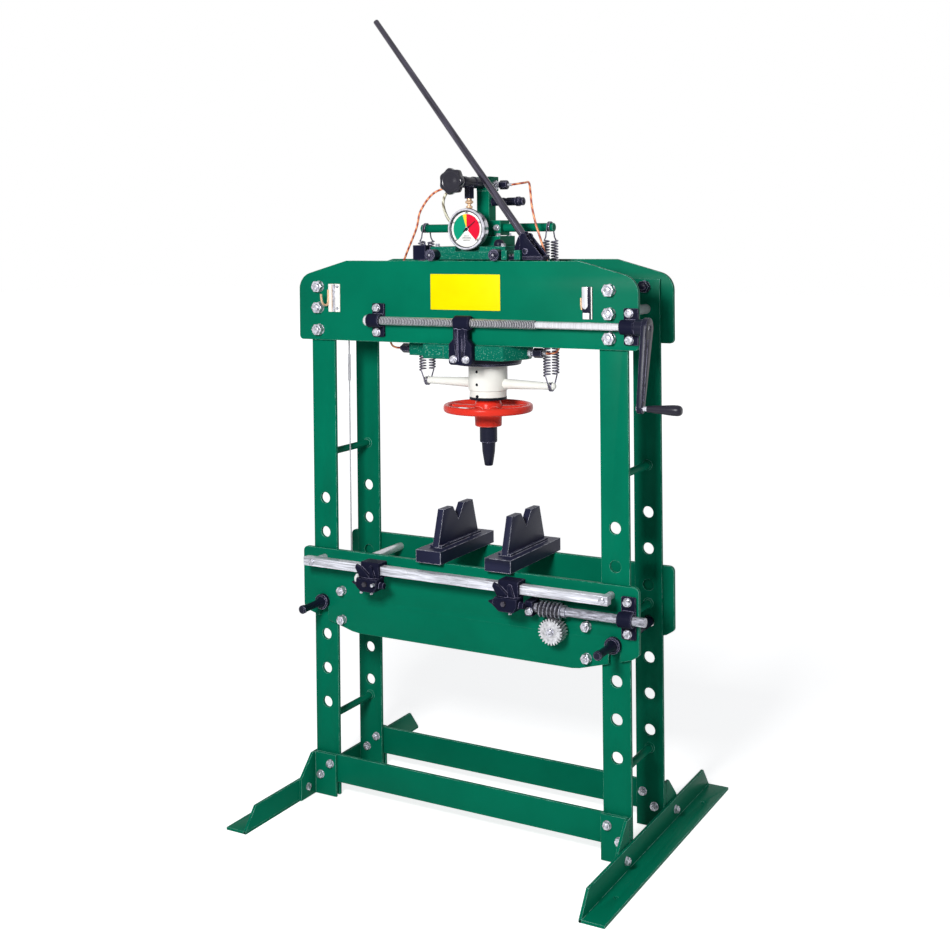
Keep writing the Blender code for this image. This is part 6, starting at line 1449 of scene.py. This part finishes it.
def makeClamp(c, r, title, side, x):
    wall, half, jawHalf, jawLow, z = c["wall"], c["half"], c["jawHalf"], c["jawLow"], c["centreZ"]
    front, back, low, high = r["front"], r["back"], r["low"], r["high"]
    section = roundCorners(rectangle(front - wall, low - wall, back + wall, high + wall), 0.005, 4)
    opening = rectangle(front - fit, low - fit, back + fit, high + fit)
    depth, middle = c["jawBack"] - c["jawFront"], (c["jawBack"] + c["jawFront"]) / 2
    shapes = [plate([section, opening], 2 * half, "YZ", (x, 0, 0), 0.0016)]
    left, right, jawTop = x - jawHalf, x + jawHalf, low - wall + 0.004
    jaw = [(left, jawTop), (left, jawLow + 0.012), (left + 0.014, jawLow), (right - 0.010, jawLow),
           (right, jawLow + 0.016), (right, jawTop)]
    # cheek that leans over the saddle, and a web behind it
    edge = x - half
    cheek = [(edge, low - 0.006), (edge - 0.014, low + 0.018), (edge - 0.010, high + 0.004),
             (edge + 0.006, high - 0.002), (x - 0.004, low + 0.006), (x + 0.008, low - 0.010)]
    web = [(x + 0.002, low - 0.008), (x + 0.002, high + 0.002), (x + 0.010, high + 0.002),
           (x + 0.022, low - 0.010)]
    for outline, thick, y, ease in (
            (roundCorners(jaw, 0.003, 3), depth, middle, 0.0022),
            (cheek, 0.010, front - wall - 0.003, 0.0018),
            (web, 0.009, front - wall - 0.0025, 0.0016)):
        shapes.append(plate([outline], thick, "XZ", (0, y, 0), ease))
    centre, reach, taper = c["centre"], -c["reach"], c["taper"] - c["reach"]
    point = [(0, reach), (centre * 0.25, reach + 0.003), (centre, taper), (centre + 0.0025, taper + 0.001),
             (centre + 0.0025, -jawHalf - 0.002), (centre, c["tail"] - 0.001), (0, c["tail"])]
    shapes.append(turned(point, "X", (x, middle, z), 28))
    makePiece(f"centreClamp{title}", shapes, blackCasting, f"clamp_{side}", [f"centre_clamp_{side}"],
              bevel=0.001)
    dark = hexNut(0.0125, 0.006, "Y", (x - 0.004, c["jawFront"] + 0.001, z + 0.004), washer=0.0078,
                  washerHeight=0.001)
    makePiece(f"clampHead{title}", [dark], oiledTube, f"clamp_{side}")
    bright = []
    for dx in c["screws"][side]:
        bright.append(rod(c["screw"], jawLow - 0.009, jawLow + 0.004, "Z", (x + dx, middle, 0), 16, 0.0005))
        bright.append(hexNut(c["screwNut"], 0.004, "Z", (x + dx, middle, jawLow - 0.010)))
    if side == "left":
        at = (x + 0.026, c["jawFront"] + 0.008, z + 0.006)
        bright.append(rod(c["stud"], 0, 0.020, "Y", at, 18, 0.0006))
    makePiece(f"clampScrews{title}", bright, zincPlate, f"clamp_{side}")
    if side == "left":
        button = turned(c["button"], "X", (x, middle, z + 0.012), 28)
        makePiece("clampButton", [button], paleNylon, "clamp_left")


for clampTitle, clampSide, _ in bothSides:
    makeClamp(clamp, rail, clampTitle, clampSide, clamp[clampSide])
print("bed, pins, rail and clamps made")

winch = {"x": 0.297, "y": -0.156, "z": 0.646, "radius": 0.0228, "root": 0.0155, "wormLow": 0.256,
         "wormHigh": 0.325, "turns": 6, "shaft": 0.0122, "left": 0.2225, "right": 0.5575, "square": 0.0092,
         "bearing": 0.503, "bearingWidth": 0.040, "bearingHeight": 0.110, "flange": 0.008, "barrel": 0.020,
         "wheelZ": 0.592, "teeth": 24, "gear": 0.0350, "gearRoot": 0.0288, "gearFront": -0.176,
         "gearThick": 0.034, "slices": 6, "lean": math.radians(9), "axle": 0.010, "drum": 0.0349,
         "drumHalf": 0.045, "cableY": -0.010, "boltRise": 0.041, "boltShift": -0.002, "waist": 0.05,
         "squareLength": 0.022}


def makeWinch(w):
    low, high, root, shaft, right = w["wormLow"], w["wormHigh"], w["root"], w["shaft"], w["right"]
    at = (0, w["y"], w["z"])
    thread = helixThread(low, high, (high - low) / w["turns"], root, w["radius"], at, 40, 0.14)
    profile = [(0, w["left"]), (shaft - 0.001, w["left"]), (shaft, w["left"] + 0.001), (shaft, low),
               (root - 0.0002, low), (root - 0.0002, high), (shaft + 0.004, high),
               (shaft + 0.004, high + 0.011), (shaft, high + 0.012), (shaft, right - 0.0015),
               (shaft - 0.0015, right), (0, right)]
    makePiece("wormShaft", [thread, turned(profile, "X", at, 44)], gearSteel, "worm", ["worm_shaft"],
              angle=30)
    # a dark rod in the worm's root paints shade into the grooves
    makePiece("wormRootShade", [rod(root + 0.0035, low + 0.001, high - 0.001, "X", at)], knobBlack, "worm")
    # flats at the shaft's end for the crank
    half = w["square"]
    end = plate([rectangle(-half, -half, half, half)], w["squareLength"], "YZ",
                (right - 0.0115, w["y"], w["z"]), 0.0008)
    makePiece("wormSquare", [end], zincPlate, "worm")
    makeBearing("wormBearing", "worm_bearing", "bed", (w["bearing"], w["y"], w["z"]), w["bearingWidth"],
                (w["flange"], w["bearingHeight"]), w["barrel"], w["boltRise"],
                w["boltShift"])
    foot, tip = w["gearRoot"], w["gear"]
    flank = foot * 0.4 + tip * 0.6
    outline = []
    for tooth in range(w["teeth"]):
        for share, r in ((0.04, foot), (0.30, foot), (0.44, flank), (0.54, tip), (0.80, tip), (0.90, flank)):
            angle = 2 * math.pi * (tooth + share) / w["teeth"]
            outline.append((r * math.cos(angle), r * math.sin(angle)))
    # slices turned one after another, so that the teeth lean, and drawn in at the middle
    rings = []
    for i in range(w["slices"] + 1):
        share = i / w["slices"]
        turn = w["lean"] * (share - 0.5)
        waist = 1 - w["waist"] * math.sin(math.pi * share)
        c, s, y = waist * math.cos(turn), waist * math.sin(turn), w["gearFront"] + w["gearThick"] * share
        rings.append([(w["x"] + u * c - v * s, y, w["wheelZ"] + u * s + v * c) for u, v in outline])
    at = (w["x"], 0, w["wheelZ"])
    drum, start, end = w["drum"], -w["cableY"] - w["drumHalf"], -w["cableY"] + w["drumHalf"]
    barrel = [(0, start), (drum, start), (drum, start + 0.005), (drum - 0.0035, start + 0.006),
              (drum - 0.0035, end - 0.006), (drum, end - 0.005), (drum, end), (0, end)]
    shapes = [loft(rings), rod(w["axle"], -0.1313, -w["gearFront"] - 0.002, "Y", at, 28),
              turned(barrel, "Y", at, 48)]
    makePiece("wormWheel", shapes, wheelSteel, "winch", ["worm_wheel"], angle=30)
    nut = hexNut(0.0165, 0.008, "Y", (w["x"], w["gearFront"], w["wheelZ"]), 0.003, 0.005, 0.0105, 0.0014)
    makePiece("wormWheelNut", [nut], zincPlate, "winch")


makeWinch(winch)

cables = {"radius": 0.002, "sleeve": 0.0042, "column": 0.459, "spacerZ": 1.428, "spacer": 0.0135, "x": 0.4432,
          "sheaveX": 0.387, "sheaveZ": 0.611, "sheave": 0.0539, "runZ": 0.5548, "y": -0.010, "winchX": 0.297,
          "sleeves": {"left": (1.205, 1.280), "right": (1.180, 1.330)}, "upper": (1.40, 1.37), "lowest": 0.68,
          "step": 0.05, "overTurn": math.radians(20)}


def makeCables(c):
    over, bend = c["spacer"] + fit + c["radius"], c["sheave"] + fit + c["radius"]
    for title, side, sign in bothSides:
        low, high = c["sleeves"][side]
        drop = [*c["upper"], high + 0.004, high, high - 0.006]
        drop += [high - 0.006 + (low - high + 0.012) * i / 6 for i in range(1, 7)]
        drop += [low, low - 0.004]
        drop += [low - 0.03 - i * c["step"] for i in range(int((low - c["lowest"]) / c["step"]))]
        route = arc((c["column"], c["spacerZ"]), over, c["overTurn"], math.pi, 14)
        route += [(c["x"], z) for z in drop]
        route += arc((c["sheaveX"], c["sheaveZ"]), bend, 0, -math.pi / 2, 12)
        end = sign * c["winchX"] + fit
        route += [(c["sheaveX"] + (end - c["sheaveX"]) * i / 6, c["runZ"]) for i in range(1, 7)]
        radii = [c["sleeve"] if low <= z <= high and abs(x - c["x"]) < 1e-6 else c["radius"]
                 for x, z in route]
        path = [Vector((sign * x, c["y"], z)) for x, z in route]
        cable = makePiece(f"liftCable{title}", [sweep(path, c["radius"], 10, radii)], cableStrand, "frame",
                          [f"lift_cable_{side}"], angle=60, ride=False)
        length = sum((b - a).length for a, b in zip(path, path[1:]))
        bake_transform(cable)


makeCables(cables)

vBlocks = {"left": -0.087, "right": 0.131, "low": 0.7253, "top": 0.7613, "half": 0.040, "baseHalf": 0.155,
           "lipInner": 0.0103, "lipOuter": 0.0193, "lipHalf": 0.115, "lipHigh": 0.7683, "plateHalf": 0.010,
           "plateFoot": 0.115, "plateTop": 0.083, "plateLow": 0.7616, "plateHigh": 0.8636, "notch": 0.031,
           "notchDepth": 0.042}


def makeVBlock(v, title, side, x):
    half, top, high = v["half"], v["top"], v["plateHigh"]
    shapes = [plate([rectangle(-half, v["low"], half, top)], 2 * v["baseHalf"], "XZ", (x, 0, 0), 0.0010)]
    for sign in (-1, 1):
        near, far = sorted((x + sign * v["lipInner"], x + sign * v["lipOuter"]))
        shapes.append(block((near, -v["lipHalf"], top - 0.005), (far, v["lipHalf"], v["lipHigh"])))
    makePiece(f"vBase{title}", shapes, blockBlack, f"v_block_{side}", [f"v_base_{side}"], bevel=0.0008)
    outline = [(-v["plateFoot"], v["plateLow"]), (v["plateFoot"], v["plateLow"]), (v["plateTop"], high),
               (v["notch"], high), (0, high - v["notchDepth"]), (-v["notch"], high), (-v["plateTop"], high)]
    makePiece(f"vPlate{title}", [plate([outline], 2 * v["plateHalf"], "YZ", (x, 0, 0), 0.0010)], blockBlack,
              f"v_block_{side}", [f"v_plate_{side}"])


for blockTitle, blockSide, _ in bothSides:
    makeVBlock(vBlocks, blockTitle, blockSide, vBlocks[blockSide])

trim = {"face": -0.1313, "plate": (-0.084, 1.429, 0.135, 1.5275)}


def makeTrim(t):
    outline = roundCorners(rectangle(*t["plate"]), 0.0015, 2)
    makePiece("yellowPlate", [plate([outline], 0.0012, "XZ", (0, t["face"] - 0.0007, 0), 0.0002)],
              yellowEnamel, "frame")


makeTrim(trim)

hangers = {"left": (-0.4287, 1.416, -0.3886, 1.4968), "groove": (-0.4165, 1.418, -0.4115, 1.4948),
           "rib": (-0.4115, 1.417, -0.4035, 1.4958), "screwX": -0.397, "screws": (1.426, 1.489),
           "hookX": -0.4290, "wire": 0.0032,
           "hook": ((0.003, 1.480), (0.0035, 1.446), (0.009, 1.4375), (0.018, 1.4355), (0.029, 1.4400),
                    (0.036, 1.451), (0.039, 1.469)),
           "right": (0.379, 1.4126, 0.407, 1.497), "edge": (0.4040, 1.4126, 0.4072, 1.497),
           "tab": (0.381, 1.4126, 0.3995, 1.429), "tongue": (0.379, 1.439, 0.395, 1.497),
           "strip": (0.3762, 1.468, 1.437)}


def makeHangers(h, face):
    def slab(name, key, near, depth, material):
        outline = roundCorners(rectangle(*h[key]), 0.0012, 2)
        makePiece(name, [plate([outline], depth, "XZ", (0, face - near - depth / 2, 0), 0.0004)], material,
                  "frame")

    # plate with a raised rib, two screws and a hook that stands out from its left edge
    slab("hangerPlateLeft", "left", 0.0002, 0.003, ivoryEnamel)
    slab("hangerRibLeft", "rib", 0.0027, 0.005, zincPlate)
    slab("hangerGrooveLeft", "groove", 0.0027, 0.0015, brassPlate)
    screws = [hexNut(0.006, 0.003, "Y", (h["screwX"], face - 0.0032, z), washer=0.0046, washerHeight=0.0006)
              for z in h["screws"]]
    makePiece("hangerScrewsLeft", screws, zincPlate, "frame")
    route = smoothPath([(h["hookX"], face - out, z) for out, z in h["hook"]], 0.003)
    makePiece("hangerHookLeft", [sweep(route, h["wire"], 14)], brassPlate, "frame", angle=40)
    # dark plate with a bright tongue, a pale edge and a tab
    slab("hangerPlateRight", "right", 0.0002, 0.003, blackEnamel)
    slab("hangerEdgeRight", "edge", 0.0030, 0.0015, ivoryEnamel)
    x0, foot, x1, high = h["tongue"]
    middle = (x0 + x1) / 2
    tongue = [(x1, high), (x1, foot + 0.006), (middle + 0.003, foot), (middle - 0.003, foot),
              (x0, foot + 0.006), (x0, high)]
    tongue = plate([roundCorners(tongue, 0.0025, 3)], 0.003, "XZ", (0, face - 0.0050, 0), 0.0006)
    makePiece("hangerTongueRight", [tongue], brightTurned, "frame")
    slab("hangerTabRight", "tab", 0.0030, 0.003, paleNylon)
    x, top, foot = h["strip"]
    route = [(x, face - 0.0045, top), (x, face - 0.0050, (top + foot) / 2), (x + 0.0015, face - 0.0045, foot)]
    makePiece("hangerHookRight", [sweep(smoothPath(route, 0.003), 0.0028, 12)], brassPlate, "frame", angle=40)


makeHangers(hangers, trim["face"])
print("winch, cables, V-blocks and trim made")

floorPlan = {"reach": 30.0, "color": 0.90, "near": 1.6, "far": 6.0, "nearGlow": 0.76, "farGlow": 1.0}


def directRays(tree, y):
    # 1 for rays straight from the camera and for those bent or mirrored on their way
    path = addNode(tree, "ShaderNodeLightPath", -600, y)
    seen = mathNode(tree, "MAXIMUM", -400, y, path.outputs["Is Camera Ray"], path.outputs["Is Glossy Ray"])
    return mathNode(tree, "MAXIMUM", -200, y, seen, path.outputs["Is Transmission Ray"])


def makeFloor(f):
    # the camera and the gloss see the floor as white; lamps and shadows still fall on it
    reach = f["reach"]
    mesh = bpy.data.meshes.new("floor")
    mesh.from_pydata([(x, y, 0) for x, y in rectangle(-reach, -reach, reach, reach)], [], [(0, 1, 2, 3)])
    material, tree, shader = openMaterial("floorWhite")
    away = addNode(tree, "ShaderNodeVectorMath", -600, -300)
    away.operation = "LENGTH"
    feed(tree, objectPlace(tree, -900, -300), away.inputs[0])
    glow = remap(tree, -400, -300, away.outputs["Value"], f["near"], f["far"], f["nearGlow"], f["farGlow"])
    seen = directRays(tree, -600)
    feedAll(tree, shader, Base_Color=shade((f["color"],) * 3), Roughness=0.9, Specular_IOR_Level=0.0,
            Emission_Color=(1, 1, 1, 1), Emission_Strength=mathNode(tree, "MULTIPLY", 0, -400, glow, seen))
    mesh.materials.append(material)
    floor = addObject("floor", mesh)


makeFloor(floorPlan)

cameraPlace = {"at": (1.79581, -3.34464, 1.64032), "yaw": math.radians(29.166), "pitch": math.radians(-0.754),
               "roll": math.radians(-0.56), "lens": 51.18, "sensor": 36, "shiftY": -0.2356, "farthest": 200}


def makeCamera(c):
    camera = addObject("camera", bpy.data.cameras.new("camera"))
    camera.data.lens = c["lens"]
    camera.data.sensor_width = c["sensor"]
    camera.data.shift_y = c["shiftY"]
    camera.data.clip_end = c["farthest"]
    turn = (Matrix.Rotation(c["yaw"], 4, "Z") @ Matrix.Rotation(math.pi / 2 + c["pitch"], 4, "X")
            @ Matrix.Rotation(c["roll"], 4, "Z"))
    camera.matrix_world = Matrix.Translation(c["at"]) @ turn
    bpy.context.scene.camera = camera


makeCamera(cameraPlace)

lamps = {"key": ((0.34, -2.5, 2.05), (0, 0, 1.2), 0.6, 67.0),
         "rim": ((4.2, 1.2, 2.6), (0, 0, 1.1), 1.6, 24.0)}
worldLight = {"color": (0.86, 0.90, 0.98, 1), "strength": 0.145}


def makeLamps(table):
    for name, (at, target, size, power) in table.items():
        light = bpy.data.lights.new(name, "AREA")
        light.shape = "SQUARE"
        light.size = size
        light.energy = power
        lamp = addObject(name, light)
        lamp.location = at
        lamp.rotation_euler = (Vector(target) - Vector(at)).to_track_quat("-Z", "Y").to_euler()


def makeWorld(w):
    # a soft sky lights the press; the rays that look at it directly see white
    world = bpy.data.worlds.new("studio")
    bpy.context.scene.world = world
    world.use_nodes = True
    tree = world.node_tree
    sky = tree.nodes["Background"]
    white = addNode(tree, "ShaderNodeBackground", 0, -200)
    feedAll(tree, sky, Color=w["color"], Strength=w["strength"])
    feedAll(tree, white, Color=(1, 1, 1, 1), Strength=1.0)
    choose = addNode(tree, "ShaderNodeMixShader", 200, 0)
    for i, output in enumerate((directRays(tree, 0), sky.outputs[0], white.outputs[0])):
        feed(tree, output, choose.inputs[i])
    feedAll(tree, tree.nodes["World Output"], Surface=choose.outputs[0])


makeLamps(lamps)
makeWorld(worldLight)
bpy.context.scene.view_settings.view_transform = "Standard"

print("scene made")
